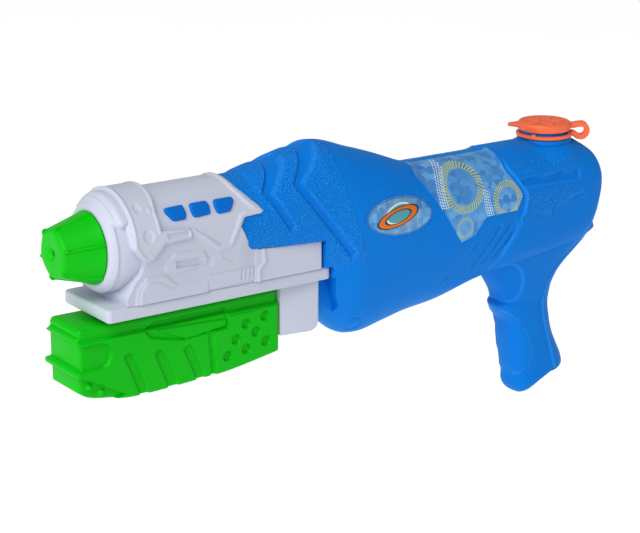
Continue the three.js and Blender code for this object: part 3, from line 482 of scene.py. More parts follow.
class Graph:
    """A small helper that adds and joins the nodes of one material."""

    def __init__(self, name: str) -> None:
        """Starts a material with a plain shader."""
        self.material = bpy.data.materials.new(name)
        self.material.use_nodes = True
        self.tree = self.material.node_tree
        self.shader = self.tree.nodes["Principled BSDF"]
        self.coords = self.add("ShaderNodeTexCoord").outputs["Object"]

    def add(self, kind: str, **values: object) -> bpy.types.Node:
        """Adds a node and sets its properties or inputs by name.

        Args:
            kind: The node's type.
            values: Properties, or inputs with spaces written as underscores.

        Returns:
            The new node.
        """
        node = self.tree.nodes.new(kind)
        for key, value in values.items():
            if hasattr(node, key):
                setattr(node, key, value)
            else:
                node.inputs[key.replace("_", " ")].default_value = value
        return node

    def join(self, source: bpy.types.NodeSocket, target: bpy.types.NodeSocket) -> None:
        """Links two sockets."""
        self.tree.links.new(source, target)

    def noise(self, scale: float, detail: float = 2.0) -> bpy.types.NodeSocket:
        """Adds a noise over the piece and gives its value."""
        node = self.add("ShaderNodeTexNoise", Scale=scale, Detail=detail)
        self.join(self.coords, node.inputs["Vector"])
        return node.outputs["Fac"]

    def cells(self, scale: float, feature: str = "F1") -> bpy.types.Node:
        """Adds a cell pattern over the piece."""
        node = self.add("ShaderNodeTexVoronoi", feature=feature, Scale=scale)
        self.join(self.coords, node.inputs["Vector"])
        return node

    def math(self, how: str, a: object, b: object = 0.0) -> bpy.types.NodeSocket:
        """Adds one step of arithmetic.

        Args:
            how: The operation.
            a: The first socket or number.
            b: The second socket or number.

        Returns:
            The result.
        """
        node = self.add("ShaderNodeMath", operation=how)
        for value, socket in zip((a, b), node.inputs):
            if isinstance(value, (int, float)):
                socket.default_value = value
            else:
                self.join(value, socket)
        return node.outputs[0]

    def length(self, a: bpy.types.NodeSocket, b: bpy.types.NodeSocket) -> bpy.types.NodeSocket:
        """Gives the length of a flat step from its two parts."""
        squares = self.math("MULTIPLY", a, a), self.math("MULTIPLY", b, b)
        return self.math("SQRT", self.math("ADD", *squares))

    def spread(
        self, value: bpy.types.NodeSocket, low: float, high: float,
    ) -> bpy.types.NodeSocket:
        """Maps a value from 0..1 to a range."""
        node = self.add("ShaderNodeMapRange", To_Min=low, To_Max=high)
        self.join(value, node.inputs["Value"])
        return node.outputs["Result"]

    def mix(self, share: object, first: object, second: object) -> bpy.types.NodeSocket:
        """Mixes two colours.

        Args:
            share: The share of the second, a socket or a number.
            first: The first colour or socket.
            second: The second colour or socket.

        Returns:
            The mixed colour.
        """
        node = self.add("ShaderNodeMix", data_type="RGBA")
        sockets = (node.inputs[0], node.inputs[6], node.inputs[7])
        for value, socket in zip((share, first, second), sockets):
            if isinstance(value, bpy.types.NodeSocket):
                self.join(value, socket)
            else:
                socket.default_value = value
        return node.outputs[2]

    def bump(self, height: bpy.types.NodeSocket, depth: float, strength: float = 1.0) -> None:
        """Roughens the surface by a height pattern.

        Args:
            height: The pattern.
            depth: Its depth in metres.
            strength: How much of it shows.
        """
        node = self.add("ShaderNodeBump", Distance=depth, Strength=strength)
        self.join(height, node.inputs["Height"])
        self.join(node.outputs["Normal"], self.shader.inputs["Normal"])


@dataclass(frozen=True)
class MouldedPlastic:
    """A coloured moulded plastic with fine grain, faint flow marks and an uneven sheen; pebbled ones also get
    painted glints on the pebbles and a painted highlight along raised edges.
    """

    name: str
    color: str
    shade: str
    roughness: float
    grain: float = 900.0
    depth: float = 0.00003
    gloss: float = 0.28
    pebbled: bool = False
    pebbles: float = 850.0
    pebble_depth: float = 0.0007
    # The colours of the painted glints on the pebbles and of the painted highlight along raised edges.
    pebble_glint: str = "62acf0"
    edge_highlight_color: str = "4aa4f2"

    def make(self) -> bpy.types.Material:
        """Makes the material."""
        g = Graph(self.name)
        flow = g.spread(g.noise(14.0, 3.0), -0.15, 1.0)
        color = g.mix(flow, linear(self.color), linear(self.shade))
        sheen = g.spread(g.noise(60.0), self.roughness - 0.06, self.roughness + 0.07)
        g.join(sheen, g.shader.inputs["Roughness"])
        fine = g.noise(self.grain, 1.0)
        if self.pebbled:
            mask = g.add("ShaderNodeAttribute", attribute_name="grain").outputs["Fac"]
            pebble = g.cells(self.pebbles, "SMOOTH_F1").outputs["Distance"]
            pebble = g.math("MULTIPLY", pebble, mask)
            g.bump(g.math("ADD", pebble, g.math("MULTIPLY", fine, 0.06)), self.pebble_depth)
            # Painted glints: the pebbles' centres are lightened to stand in for sparkles of light.
            pebble_glint = g.math("LESS_THAN", g.cells(self.pebbles).outputs["Distance"], 0.3)
            pebble_glint = g.math("MULTIPLY", g.math("MULTIPLY", mask, pebble_glint), 0.5)
            color = g.mix(pebble_glint, color, linear(self.pebble_glint))
            # Painted highlight: raised edges are lightened towards a paler blue, standing in for light caught
            # on them.
            edge_highlight = g.add("ShaderNodeAttribute", attribute_name="edge_highlight").outputs["Fac"]
            color = g.mix(g.math("MULTIPLY", edge_highlight, 0.45), color, linear(self.edge_highlight_color))
        else:
            g.bump(fine, self.depth, 0.6)
        g.join(color, g.shader.inputs["Base Color"])
        g.shader.inputs["IOR"].default_value = 1.5
        g.shader.inputs["Specular IOR Level"].default_value = self.gloss
        return g.material


@dataclass(frozen=True)
class PrintedRing:
    """A ring of dashes or dots printed on a film, in side-view millimetres.

    It is printed in front of until, above the height above and under the height under.
    """

    centre: tuple[float, float]
    radius: float
    reach: float
    count: int
    code: str
    dotted: bool = False
    until: float = 1000.0
    above: float = -1000.0
    under: float = 1000.0
    slant: float = 0.6
    dash: float = 0.21
    dot: float = 0.3464
    row: float = 1.75

    def ink(
        self, g: Graph, x: bpy.types.NodeSocket, z: bpy.types.NodeSocket,
    ) -> bpy.types.NodeSocket:
        """Gives where the ring is printed.

        Args:
            g: The material's graph.
            x: The piece's x, in metres.
            z: The piece's z, in metres.

        Returns:
            1 on a dash or a dot and 0 beside it.
        """
        middle = spot(self.centre[0], 0, self.centre[1])
        dx, dz = g.math("SUBTRACT", x, middle.x), g.math("SUBTRACT", z, middle.z)
        off = g.math("SUBTRACT", g.length(dx, dz), self.radius * MM)
        off = g.math("DIVIDE", off, self.reach * MM)
        near = g.math("LESS_THAN", g.math("ABSOLUTE", off), 1.0)
        for test, along, border in (
            ("LESS_THAN", x, spot(self.until, 0, 0).x),
            ("GREATER_THAN", z, spot(0, 0, self.above).z),
            ("LESS_THAN", z, spot(0, 0, self.under).z),
        ):
            near = g.math("MULTIPLY", near, g.math(test, along, border))
        turn = g.math("MULTIPLY", g.math("ARCTAN2", dz, dx), self.count / (2 * math.pi))
        turn = g.math("ADD", turn, g.math("MULTIPLY", off, self.slant))
        across = g.math("SUBTRACT", g.math("FRACT", turn), 0.5)
        if self.dotted:
            out = g.math("FRACT", g.math("MULTIPLY", off, self.reach / self.row))
            far = g.length(across, g.math("SUBTRACT", out, 0.5))
            return g.math("MULTIPLY", near, g.math("LESS_THAN", far, self.dot))
        return g.math("MULTIPLY", near, g.math("LESS_THAN", g.math("ABSOLUTE", across), self.dash))


@dataclass(frozen=True)
class PrintedOval:
    """A leaning oval printed on a film, whole or as a thin line, in side-view millimetres."""

    centre: tuple[float, float]
    halves: tuple[float, float]
    lean: float
    code: str
    line: float = 0.0

    def ink(
        self, g: Graph, x: bpy.types.NodeSocket, z: bpy.types.NodeSocket,
    ) -> bpy.types.NodeSocket:
        """Gives where the oval is printed.

        Args:
            g: The material's graph.
            x: The piece's x, in metres.
            z: The piece's z, in metres.

        Returns:
            1 on the oval and 0 beside it.
        """
        middle = spot(self.centre[0], 0, self.centre[1])
        dx, dz = g.math("SUBTRACT", x, middle.x), g.math("SUBTRACT", z, middle.z)
        c, s = math.cos(self.lean), math.sin(self.lean)
        a, b = self.halves[0] * MM, self.halves[1] * MM
        long = g.math("ADD", g.math("MULTIPLY", dx, c / a), g.math("MULTIPLY", dz, s / a))
        high = g.math("SUBTRACT", g.math("MULTIPLY", dz, c / b), g.math("MULTIPLY", dx, s / b))
        far = g.length(long, high)
        if self.line:
            return g.math("LESS_THAN", g.math("ABSOLUTE", g.math("SUBTRACT", far, 1.0)), self.line)
        return g.math("LESS_THAN", far, 1.0)


@dataclass(frozen=True)
class FoilFilm:
    """A printed foil film: pale blue facets under rings of dots and dashes, or under a few ovals.

    Nearer to the parting plane than fold, the prints follow the film over the back of the tank.
    """

    name: str
    prints: tuple[PrintedRing | PrintedOval, ...]
    glow: float = 0.0
    facets: float = 243.0
    cover: float = 0.92
    fold: float = 24.6
    unrolled: float = 0.2

    def make(self) -> bpy.types.Material:
        """Makes the material."""
        g = Graph(self.name)
        grey = g.add("ShaderNodeRGBToBW")
        g.join(g.cells(self.facets).outputs["Color"], grey.inputs["Color"])
        tone = grey.outputs["Val"]
        color = g.mix(g.spread(tone, -0.2, 1.1), linear("3d88ce"), linear("8ac6ee"))
        color = g.mix(g.spread(g.noise(26.0), -0.2, 0.9), color, linear("5b9ed8"))
        if self.glow:
            warm = g.spread(g.noise(34.0), -0.8 * self.glow, self.glow)
            color = g.mix(warm, color, linear("c3cfa8"))
        parts = g.add("ShaderNodeSeparateXYZ")
        g.join(g.coords, parts.inputs["Vector"])
        inward = g.math("SUBTRACT", self.fold * MM, g.math("ABSOLUTE", parts.outputs["Y"]))
        over = g.math("MULTIPLY", g.math("MAXIMUM", inward, 0.0), self.unrolled)
        height = g.math("ADD", parts.outputs["Z"], over)
        for mark in self.prints:
            share = g.math("MULTIPLY", mark.ink(g, parts.outputs["X"], height), self.cover)
            color = g.mix(share, color, linear(mark.code))
        g.join(color, g.shader.inputs["Base Color"])
        g.join(g.spread(tone, 0.22, 0.4), g.shader.inputs["Roughness"])
        g.shader.inputs["Metallic"].default_value = 0.15
        g.bump(tone, 0.00008, 0.4)
        return g.material


@dataclass(frozen=True)
class PlatedSteel:
    """Bright plated steel with fine turning marks."""

    name: str

    def make(self) -> bpy.types.Material:
        """Makes the material."""
        g = Graph(self.name)
        color = g.mix(g.noise(300.0), linear("a9adb2"), linear("d5d8dc"))
        g.join(color, g.shader.inputs["Base Color"])
        g.shader.inputs["Metallic"].default_value = 1.0
        g.join(g.spread(g.noise(700.0), 0.22, 0.38), g.shader.inputs["Roughness"])
        g.bump(g.noise(1500.0), 0.00002, 0.5)
        return g.material


@dataclass(frozen=True)
class SoftRubber:
    """Matt black rubber with a dusty bloom."""

    name: str

    def make(self) -> bpy.types.Material:
        """Makes the material."""
        g = Graph(self.name)
        color = g.mix(g.noise(120.0), linear("1c1d1f"), linear("303235"))
        g.join(color, g.shader.inputs["Base Color"])
        g.join(g.spread(g.noise(90.0), 0.7, 0.9), g.shader.inputs["Roughness"])
        g.bump(g.noise(900.0), 0.00004, 0.6)
        return g.material


class Finishes:
    """All finishes of the squirter, made once."""

    def __init__(self) -> None:
        """Makes the materials."""
        self.blue = MouldedPlastic("blue_plastic", "0084d8", "008ce1", 0.46, gloss=0.17, pebbled=True).make()
        self.white = MouldedPlastic("white_plastic", "c7cbd9", "cfd3e0", 0.42).make()
        self.green = MouldedPlastic("green_plastic", "00be10", "04c816", 0.4).make()
        self.orange = MouldedPlastic("orange_plastic", "fb7a4e", "fd8458", 0.32, gloss=0.5).make()
        self.window = MouldedPlastic("window_blue", "0077ca", "0080d4", 0.36, gloss=0.2).make()
        self.clear = MouldedPlastic("clear_plastic", "d9e0e4", "e6ecef", 0.3).make()
        self.grey = MouldedPlastic("grey_plastic", "858b92", "959ba2", 0.45).make()
        self.wrap = FoilFilm("foil_wrap", (
            PrintedRing((283.7, 3.4), 14.4, 2.6, 44, "ddd45c"),
            PrintedRing((319.3, -9.6), 10.1, 2.3, 38, "ddd45c"),
            PrintedRing((282.2, -22.6), 6.0, 1.2, 46, "c2c488"),
            PrintedRing((294.6, 0.5), 29.0, 3.0, 100, "e6eef2", dotted=True, until=275.0, above=-8.0),
            PrintedRing(
                (341.8, -4.5), 40.0, 2.7, 138, "e6eef2", dotted=True, until=312.0, above=-18.0, under=-0.8,
            ),
        )).make()
        self.oval = FoilFilm("foil_oval", (
            PrintedOval((228.2, -5.9), (27.1, 11.3), -0.075, "3f7fc0", 0.03),
            PrintedOval((227.2, -4.2), (11.6, 6.4), 0.14, "eef1ee"),
            PrintedOval((227.2, -4.2), (10.4, 5.2), 0.14, "4fa6b4"),
            PrintedOval((226.4, -6.2), (14.2, 4.6), 0.16, "33363c", 0.28),
            PrintedOval((226.4, -6.2), (14.2, 4.6), 0.16, "ee8420", 0.17),
        ), glow=0.55).make()
        self.steel = PlatedSteel("plated_steel").make()
        self.rubber = SoftRubber("black_rubber").make()


def finished(
    piece: bpy.types.Object, material: bpy.types.Material, slot: str, *nodes: str,
) -> None:
    """Gives a piece its finish and hides the CAD nodes it stands for.

    Args:
        piece: The piece.
        material: Its finish.
        slot: Not used.
        nodes: The CAD nodes it replaces.
    """
    piece.data.materials.clear()
    piece.data.materials.append(material)
    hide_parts(*nodes)
    LOG.info("%s: %d faces", piece.name, len(piece.data.polygons))


def dress(
    piece: bpy.types.Object, material: bpy.types.Material, body: str, slot: str, *nodes: str,
) -> None:
    """Finishes a piece that moves with one body.

    Args:
        piece: The piece.
        material: Its finish.
        body: The body it moves with.
        slot: Not used; it is passed on to finished, which does not read it.
        nodes: The CAD nodes it replaces.
    """
    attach(piece, body)
    finished(piece, material, slot, *nodes)


def screw_well(
    x: float, z: float, reach: float, radius: float = 2.9, floor: float = 3.6,
) -> bmesh.types.BMesh:
    """Makes the cutter for a screw's well on the right-hand side.

    Args:
        x: The screw's place along the barrel.
        z: Its height.
        reach: The y of the surface that the well opens in.
        radius: The well's radius.
        floor: The y of the well's floor.

    Returns:
        The cutter.
    """
    past = reach + 4
    profile = ((floor, 0), (floor, radius), (past, radius), (past, 0))
    return Mesher.turned(profile, 24, (x, 0, z), "Y")


def rounded(points: Points, radius: float, steps: int = 5) -> list[tuple[float, float]]:
    """Rounds the corners of a flat outline.

    Args:
        points: The corners.
        radius: The most that a corner is rounded by.
        steps: Points along a rounded corner.

    Returns:
        The outline with its corners replaced by arcs.
    """
    out: list[tuple[float, float]] = []
    ring = [Vector(p) for p in points]
    for before, at, after in zip(ring[-1:] + ring[:-1], ring, ring[1:] + ring[:1]):
        reach = min(radius, (before - at).length / 2.2, (after - at).length / 2.2)
        a = at + (before - at).normalized() * reach
        b = at + (after - at).normalized() * reach
        for t in np.linspace(0.0, 1.0, steps):
            mid = a * (1 - t) ** 2 + at * 2 * t * (1 - t) + b * t * t
            out.append((mid.x, mid.y))
    return out


def painted(piece: bpy.types.Object, name: str, share: Strength) -> None:
    """Stores the strength of a finish's detail at each point of a piece.

    Args:
        piece: The piece.
        name: The name that the finish reads it by.
        share: Gives the strength at layout points.
    """
    count = len(piece.data.vertices)
    co = np.zeros(count * 3, np.float32)
    piece.data.vertices.foreach_get("co", co)
    x, y, z = (co.reshape(-1, 3) / MM + np.array(PALM)).T
    layer = piece.data.attributes.new(name, "FLOAT", "POINT")
    layer.data.foreach_set("value", share(x, y, z).astype(np.float32))


@dataclass
class WaterTank:
    """The blue tank with its filler neck, pistol grip and printed films."""

    finishes: Finishes
    front: float = 110.0
    rear: float = 413.5
    nose_front: float = 121.3
    nose_end: float = 172.4
    nose_floor: tuple[float, float] = (-10.5, -13.1)
    neck_radius: float = 15.7
    neck_bore: float = 13.1
    neck_boss: float = 2.4
    neck_foot: float = 9.0
    boss_top: float = 20.4
    neck_top: float = 27.6
    swell_top: float = 17.6
    pocket_depth: float = 42.0
    film: float = 0.4
    film_tuck: float = 0.5
    film_margins: tuple[float, float] = (2.4, 8.5)
    film_end: float = 332.5
    film_low: Points = (
        (250, 13), (261.5, -4.2), (279.2, -32.6), (290.4, -30.2), (300.3, -19.2), (327, -18.4), (332.5, -9),
    )
    film_high: Points = ((250, 13), (254, 30), (319, 30), (321, 9), (330.5, -5), (332.5, -9))
    oval_centre: tuple[float, float] = (228.2, -5.9)
    oval_halves: tuple[float, float] = (27.8, 11.9)
    oval_lean: float = math.radians(-4.3)
    top: Curve = Curve((
        (110, 29.6), (125, 30), (130, 31.8), (141, 34.4), (156, 38), (170, 41.2), (178.5, 43), (186, 42.4),
        (209, 35.2), (225, 30), (240, 24.4), (250, 20.6), (259, 18.4), (316, 18.3), (321, 20.2), (388, 19.4),
        (399, 14.6), (407, 6.6), (411.5, -3), (413.5, -8.5),
    ))
    base: Curve = Curve((
        (110, -27.2), (125, -27.6), (150, -44), (171.6, -56.5), (178, -64.5), (186, -73.2), (192, -78.8),
        (197, -82.8), (203, -85.2), (210, -85.8), (228, -82.4), (247, -78.6), (270, -76), (304, -68),
        (390, -53.5), (399.5, -48.5), (402.5, -44), (405.5, -31), (408.5, -21), (411.5, -16), (413.5, -14),
    ))
    half: Curve = Curve((
        (110, 29.6), (125, 29.8), (150, 29.8), (172, 30.4), (200, 33.4), (216, 33.2), (252, 30.8),
        (300, 29.4), (390, 26.8), (403, 24.6), (409, 20.2), (413.5, 12),
    ))
    mid: Curve = Curve((
        (110, 0), (130, 0), (172, -8), (205, -20), (255, -28), (320, -25), (388, -20), (405, -14),
        (413.5, -11),
    ))
    power: Curve = Curve(((110, 2), (124, 2), (160, 2.25), (300, 2.3), (413.5, 2.6)))
    grip_front: Curve = Curve((
        (-30, 317.5), (-47, 319), (-52, 320), (-58, 322), (-65, 325.5), (-72, 328.5), (-82, 333.9),
        (-87, 335.4), (-89, 336), (-90.4, 334.2), (-91.8, 333.8), (-93.5, 334.5), (-98, 337.7),
        (-105, 342.3), (-116, 343.5), (-126, 345.2), (-136, 346.8), (-145, 348.7), (-149, 348.8),
        (-152, 349.4), (-154.5, 350.6), (-156.3, 352.2), (-157.5, 354.2), (-158, 356.5),
    ))
    grip_back: Curve = Curve((
        (-30, 403), (-38, 407.6), (-41.5, 409.2), (-43.5, 410.2), (-47, 405), (-52, 398.3), (-58, 391.9),
        (-65, 385), (-72, 380), (-82, 376.2), (-94, 375.6), (-105, 377), (-116, 380.3), (-126, 385.3),
        (-136, 390.2), (-140, 391), (-142, 390), (-143.5, 386.8), (-145, 382.6), (-147, 377.5),
        (-149, 373), (-151, 369.2), (-153, 366.2), (-155, 363.4), (-156.5, 361), (-157.5, 358.9),
        (-158, 357.5),
    ))
    grip_half: Curve = Curve((
        (-30, 27.6), (-36, 26.8), (-42, 25.7), (-48, 24.4), (-54, 23), (-62, 21), (-70, 19), (-80, 16.9),
        (-92, 15), (-120, 15), (-145, 15.2), (-150, 13.9), (-154, 11.4), (-156.5, 8), (-157.5, 5.6),
        (-158, 3.6),
    ))
    grip_power: Curve = Curve(((-30, 4), (-50, 3.8), (-70, 3), (-90, 2.6), (-158, 2.4)))
    shoulder: Mark = panel(1.5, (
        (322, 45), (323.5, 9), (333.5, -5), (336, -9.5), (333, -20), (318, -45), (305, -66), (303, -120),
        (430, -120), (430, 45),
    ), 1.6)
    channels: tuple[Mark, ...] = tuple(
        panel(-1.8, ribbon(line, (7, 7, 7, 6.5, 4.6, 4.4))) for line in (
            ((161, 56), (160, 48), (147, 34.6), (133.5, 21), (140.8, 9), (148, -2.5)),
            ((182, 56), (181, 50), (168, 36.7), (155, 23.5), (168, 5.5), (192, -25.5)),
        )
    )
    marks: tuple[Mark, ...] = (
        panel(-1.3, ((331.5, 0.9), (383.1, 0.7), (383.4, -4.7), (333.3, -3.2))),
        groove(-0.9, ((269.6, -57.2), (285.8, -40.7)), 1.7),
        groove(-0.9, ((282, -47.8), (302.3, -27.9)), 1.7),
        groove(-1.0, ((291.8, -52.1), (313.7, -26.5)), 1.8),
        groove(-1.0, ((301.5, -51.2), (325.8, -22.6)), 1.8),
        groove(-1.0, ((309.7, -49.9), (333.4, -23.8)), 1.8),
        groove(-0.8, ((336, -24), (358, -24), (363, -17), (386, -16)), 1.6),
        disc(-0.9, (201.4, -74.6), 5.6, 1.6),
        disc(0.9, (201.4, -74.6), 3.8, 1.6),
    )
    patches: tuple[Mark, ...] = (
        panel(0.55, (
            (326, 11.5), (339.4, 12.3), (380, 11.8), (386.5, 4.4), (378.9, 0.2), (334.8, 3.9),
        ), 2.5),
        panel(0.75, (
            (335.2, -7.4), (379.2, -7.4), (378.2, -19.1), (362.8, -20), (356.4, -28.9), (334.4, -28.1),
        ), 2.5),
    )
    grip_marks: tuple[Mark, ...] = (
        panel(-1.6, rounded((
            (306, -60.5), (314.4, -58.7), (322.6, -56.2), (334.5, -58.9), (341.5, -64.7), (345, -74.8),
            (343.2, -83.9), (337.4, -88), (322.2, -88.6), (306, -86),
        ), 7.0), 1.1),
        panel(1.1, rounded((
            (322.4, -91.2), (336.9, -93.8), (347.4, -101.2), (354, -112.1), (358.5, -124), (358, -135),
            (351, -141.2), (344.2, -146),
        ), 8.0)),
        groove(0.7, (
            (341.8, -97), (343.8, -104), (345.4, -113), (347.2, -121), (346.8, -128), (349.2, -136.5),
            (349.6, -144),
        ), 1.2, 0.9),
        panel(1.3, (
            (425, -40), (404, -44.5), (393.7, -51.3), (383.5, -58.5), (373.5, -67), (368.4, -75.6),
            (364.6, -89.9), (366.2, -102.6), (372.9, -123.2), (379.3, -145.5), (384, -162), (425, -162),
        ), 1.1),
    ) + tuple(disc(0.8, at, 3.0, 5.0) for at in ((347, -105.5), (349.5, -125), (350.5, -142)))

    def bend(self, x: np.ndarray, below: np.ndarray) -> np.ndarray:
        """Gives how square the skin is, squarer under the middle where the grip joins it.

        Args:
            x: Places along the tank.
            below: Whether each place is under the middle.

        Returns:
            The power of the section there.
        """
        joined = ease((x - 312) / 22) * (1 - ease((x - 394) / 12))
        return self.power(x) + 0.75 * joined * below

    def section(
        self, x: np.ndarray, turn: np.ndarray,
    ) -> tuple[np.ndarray, np.ndarray, np.ndarray, np.ndarray]:
        """Reads the tank's skin round its length.

        Args:
            x: Places along the tank.
            turn: Angles round it, with the crown at a quarter turn.

        Returns:
            The y and z of the skin and of its outward direction.
        """
        half, mid = self.half(x), self.mid(x)
        c, s = np.cos(turn), np.sin(turn)
        reach = np.where(s >= 0, self.top(x) - mid, mid - self.base(x))
        bow = 2 / self.bend(x, s < 0)
        ny, nz = bowed(c, 2 - bow) / half, bowed(s, 2 - bow) / reach
        size = np.hypot(ny, nz)
        return half * bowed(c, bow), mid + reach * bowed(s, bow), ny / size, nz / size

    def step(self, x: np.ndarray, z: np.ndarray) -> np.ndarray:
        """Gives the height of the raised shoulder, faded over the crown and under the tank."""
        return self.shoulder.rise(x, z) * ease((z + 60) / 14) * (1 - ease((z - 5) / 10))

    def turn_at_height(self, x: np.ndarray, z: np.ndarray) -> np.ndarray:
        """Gives the angle at which the left skin reaches a height."""
        mid = self.mid(x)
        reach = np.where(z >= mid, self.top(x) - mid, mid - self.base(x))
        level = np.clip((z - mid) / reach, -1.0, 1.0)
        return math.pi - np.arcsin(bowed(level, self.bend(x, z < mid) / 2))

    def pockets(self) -> list[bmesh.types.BMesh]:
        """Makes the cutters for the neck's bore, the rail's end and the pockets beside the pump box."""
        wide, bore = 60.0, self.neck_bore
        hole = Mesher.turned(((-34, 0), (-34, bore), (44, bore), (44, 0)), 56, (NECK_X, 0, 0), "Z")
        rail = rounded(((150, -40), (179.1, -40), (179.1, -30.8), (150, -30.8)), 3.0, 6)
        vee = ((160, -38.5), (181, -38.5), (183, -51), (187.6, -60.5), (184.5, -65), (160, -66.5))
        left = Mesher.prism(flat(rounded(vee, 1.6, 4), 1, -wide), (0, self.pocket_depth, 0))
        return [hole, Mesher.prism(flat(rail, 1, -wide), (0, 2 * wide, 0)), left, Mesher.mirrored(left)]

    def body(self) -> bmesh.types.BMesh:
        """Makes the tank's skin with its moulded marks, its pockets and the bore of its neck."""
        stations = np.concatenate([
            np.linspace(self.front, 124, 10), np.arange(125, 172, 0.7), [172.3, 172.5],
            np.arange(173.2, 200, 0.7), np.arange(200, 262, 1.1), np.arange(262, 312, 1.4),
            np.arange(312, 400, 0.8), np.linspace(400.5, self.rear, 22),
        ])
        nose = (self.nose_front, self.nose_end)

        def mapping(u: np.ndarray, v: np.ndarray) -> np.ndarray:
            x = pick(stations, u)
            y, z, ny, nz = self.section(x, 2 * math.pi * v)
            rise = relief((*self.channels, *self.marks), x, z) + self.step(x, z)
            near = 1 - ease((np.hypot(x - NECK_X, y) - self.neck_radius - 1.5) / 10)
            near = near * ease((z + 4) / 12) * (1 - ease((x - 381) / 12))
            swell = np.maximum(self.swell_top - z, 0) * near
            floor = np.where(x < self.nose_end, np.interp(x, nose, self.nose_floor), -1e3)
            return np.stack([x, y + ny * rise, np.maximum(z + nz * rise + swell, floor)], axis=1)

        return Mesher.cut(Mesher.sheet(len(stations) - 1, 208, mapping), *self.pockets())

    def grip(self) -> bmesh.types.BMesh:
        """Makes the pistol grip, flared where it joins the tank."""
        levels = np.concatenate([
            np.linspace(-30, -46, 14)[:-1], np.linspace(-46, -150, 132), np.linspace(-150.5, -158, 20),
        ])

        def mapping(u: np.ndarray, v: np.ndarray) -> np.ndarray:
            z = pick(levels, u)
            front, back, half = self.grip_front(z), self.grip_back(z), self.grip_half(z)
            bow, deep = 2 / self.grip_power(z), (back - front) / 2
            c, s = np.cos(2 * math.pi * v), np.sin(2 * math.pi * v)
            x, y = (front + back) / 2 + deep * bowed(c, bow), half * bowed(s, bow)
            nx, ny = bowed(c, 2 - bow) / deep, bowed(s, 2 - bow) / half
            rise = relief(self.grip_marks, x, z) / np.hypot(nx, ny)
            rise = rise * ease(np.abs(y) / 4) * ease((-46 - z) / 6) * ease((x - front) / 5)
            return np.stack([x + nx * rise, y + ny * rise, z], axis=1)

        return Mesher.sheet(len(levels) - 1, 144, mapping)

    def neck(self) -> bmesh.types.BMesh:
        """Makes the filler neck with a rounded lip and a boss round its foot."""
        r, b, t = self.neck_radius, self.neck_bore, self.neck_top
        wide, high = r + self.neck_boss, self.boss_top
        profile = (
            (self.neck_foot, wide), (high - 0.8, wide), (high - 0.2, wide - 0.3), (high, wide - 0.8),
            (high, r), (t - 0.7, r), (t - 0.2, r - 0.2), (t, r - 0.7), (t, b + 0.5), (t - 0.4, b),
            (self.neck_foot, b),
        )
        return Mesher.turned(profile, 72, (NECK_X, 0, 0), "Z")

    def grain(self, x: np.ndarray, y: np.ndarray, z: np.ndarray) -> np.ndarray:
        """Gives where the moulded pebble grain stands on the tank."""
        border = np.interp(z, (-35, 9, 40), (206, 191, 187))
        front = ease((border - x) / 3) + 0.22 * ease((x - border) / 3) * (1 - ease((x - 250) / 14))
        front = front * ease((z + 33) / 4)
        for channel in self.channels:
            front = front * (1 - channel.cover(x, z))
        rear = np.clip(1.5 * relief(self.patches, x, z), 0, 1)
        return np.clip(front + rear, 0.03, 1) * (np.abs(y) > 1e-6)

    def edge_highlight(self, x: np.ndarray, y: np.ndarray, z: np.ndarray) -> np.ndarray:
        """Gives where raised edges get a painted highlight, a paler line on the tank and the grip."""
        high, low = (z > -60) & (z < 15), z < -50
        found = np.zeros(np.shape(x))
        for mark, where in [(self.shoulder, high), *((m, low) for m in self.grip_marks)]:
            if mark.kind is MarkKind.PANEL:
                off = (mark.distance(x, z) + math.copysign(0.5, mark.height)) / 0.7
                found = np.maximum(found, np.exp(-off * off) * where)
        for mark in (*self.marks, *self.channels):
            off = (mark.distance(x, z) - 0.5) / 0.6
            found = np.maximum(found, 0.6 * np.exp(-off * off) * (z > -60))
        return found * (np.abs(y) > 4)

    def wrap_film(self, margin: float) -> bmesh.types.BMesh:
        """Makes the left half of the film wrapped over the tank's back.

        Args:
            margin: How far the film stays off the crown, in millimetres.

        Returns:
            The closed mesh, in the frame of the part.
        """
        keys = (250, 254, 261.5, 279.2, 290.4, 300.3, 319, 321, 327, 330.5, self.film_end)
        steps = (30, 12, 24, 14, 13, 24, 34, 10, 8, 6)
        spans = [np.linspace(a, b, n + 1)[:-1] for a, b, n in zip(keys, keys[1:], steps)]
        stations = np.concatenate([*spans, [self.film_end]])
        rows, cols = len(stations) - 1, 90

        def mapping(u: np.ndarray, v: np.ndarray) -> np.ndarray:
            x = pick(stations, u)
            low = self.turn_at_height(x, np.interp(x, *np.array(self.film_low).T))
            high = self.turn_at_height(x, np.interp(x, *np.array(self.film_high).T))
            crown = math.pi / 2 + np.arcsin((margin / self.half(x)) ** (self.power(x) / 2))
            y, z, ny, nz = self.section(x, low + (np.maximum(high, crown) - low) * v)
            rim = (np.abs(u - 0.5) > 0.5 - 0.5 / rows) | (np.abs(v - 0.5) > 0.5 - 0.5 / cols)
            rise = np.where(rim, -self.film_tuck, self.film) + 0.5 * self.step(x, z)
            return np.stack([x, y + ny * rise, z + nz * rise], axis=1)

        return Mesher.sheet(rows, cols, mapping)

    def oval_film(self) -> bmesh.types.BMesh:
        """Makes the left oval film."""
        rows, cols = 24, 96
        c, s = math.cos(self.oval_lean), math.sin(self.oval_lean)

        def mapping(u: np.ndarray, v: np.ndarray) -> np.ndarray:
            share = np.minimum(u * rows / (rows - 1), 1.0)
            long = self.oval_halves[0] * share * np.cos(2 * math.pi * v)
            high = self.oval_halves[1] * share * np.sin(2 * math.pi * v)
            x = self.oval_centre[0] + long * c - high * s
            z = self.oval_centre[1] + long * s + high * c
            y, z, ny, nz = self.section(x, self.turn_at_height(x, z))
            rise = np.where(u > 1 - 0.5 / rows, -self.film_tuck, self.film)
            return np.stack([x, y + ny * rise, z + nz * rise], axis=1)

        return Mesher.sheet(rows, cols, mapping)

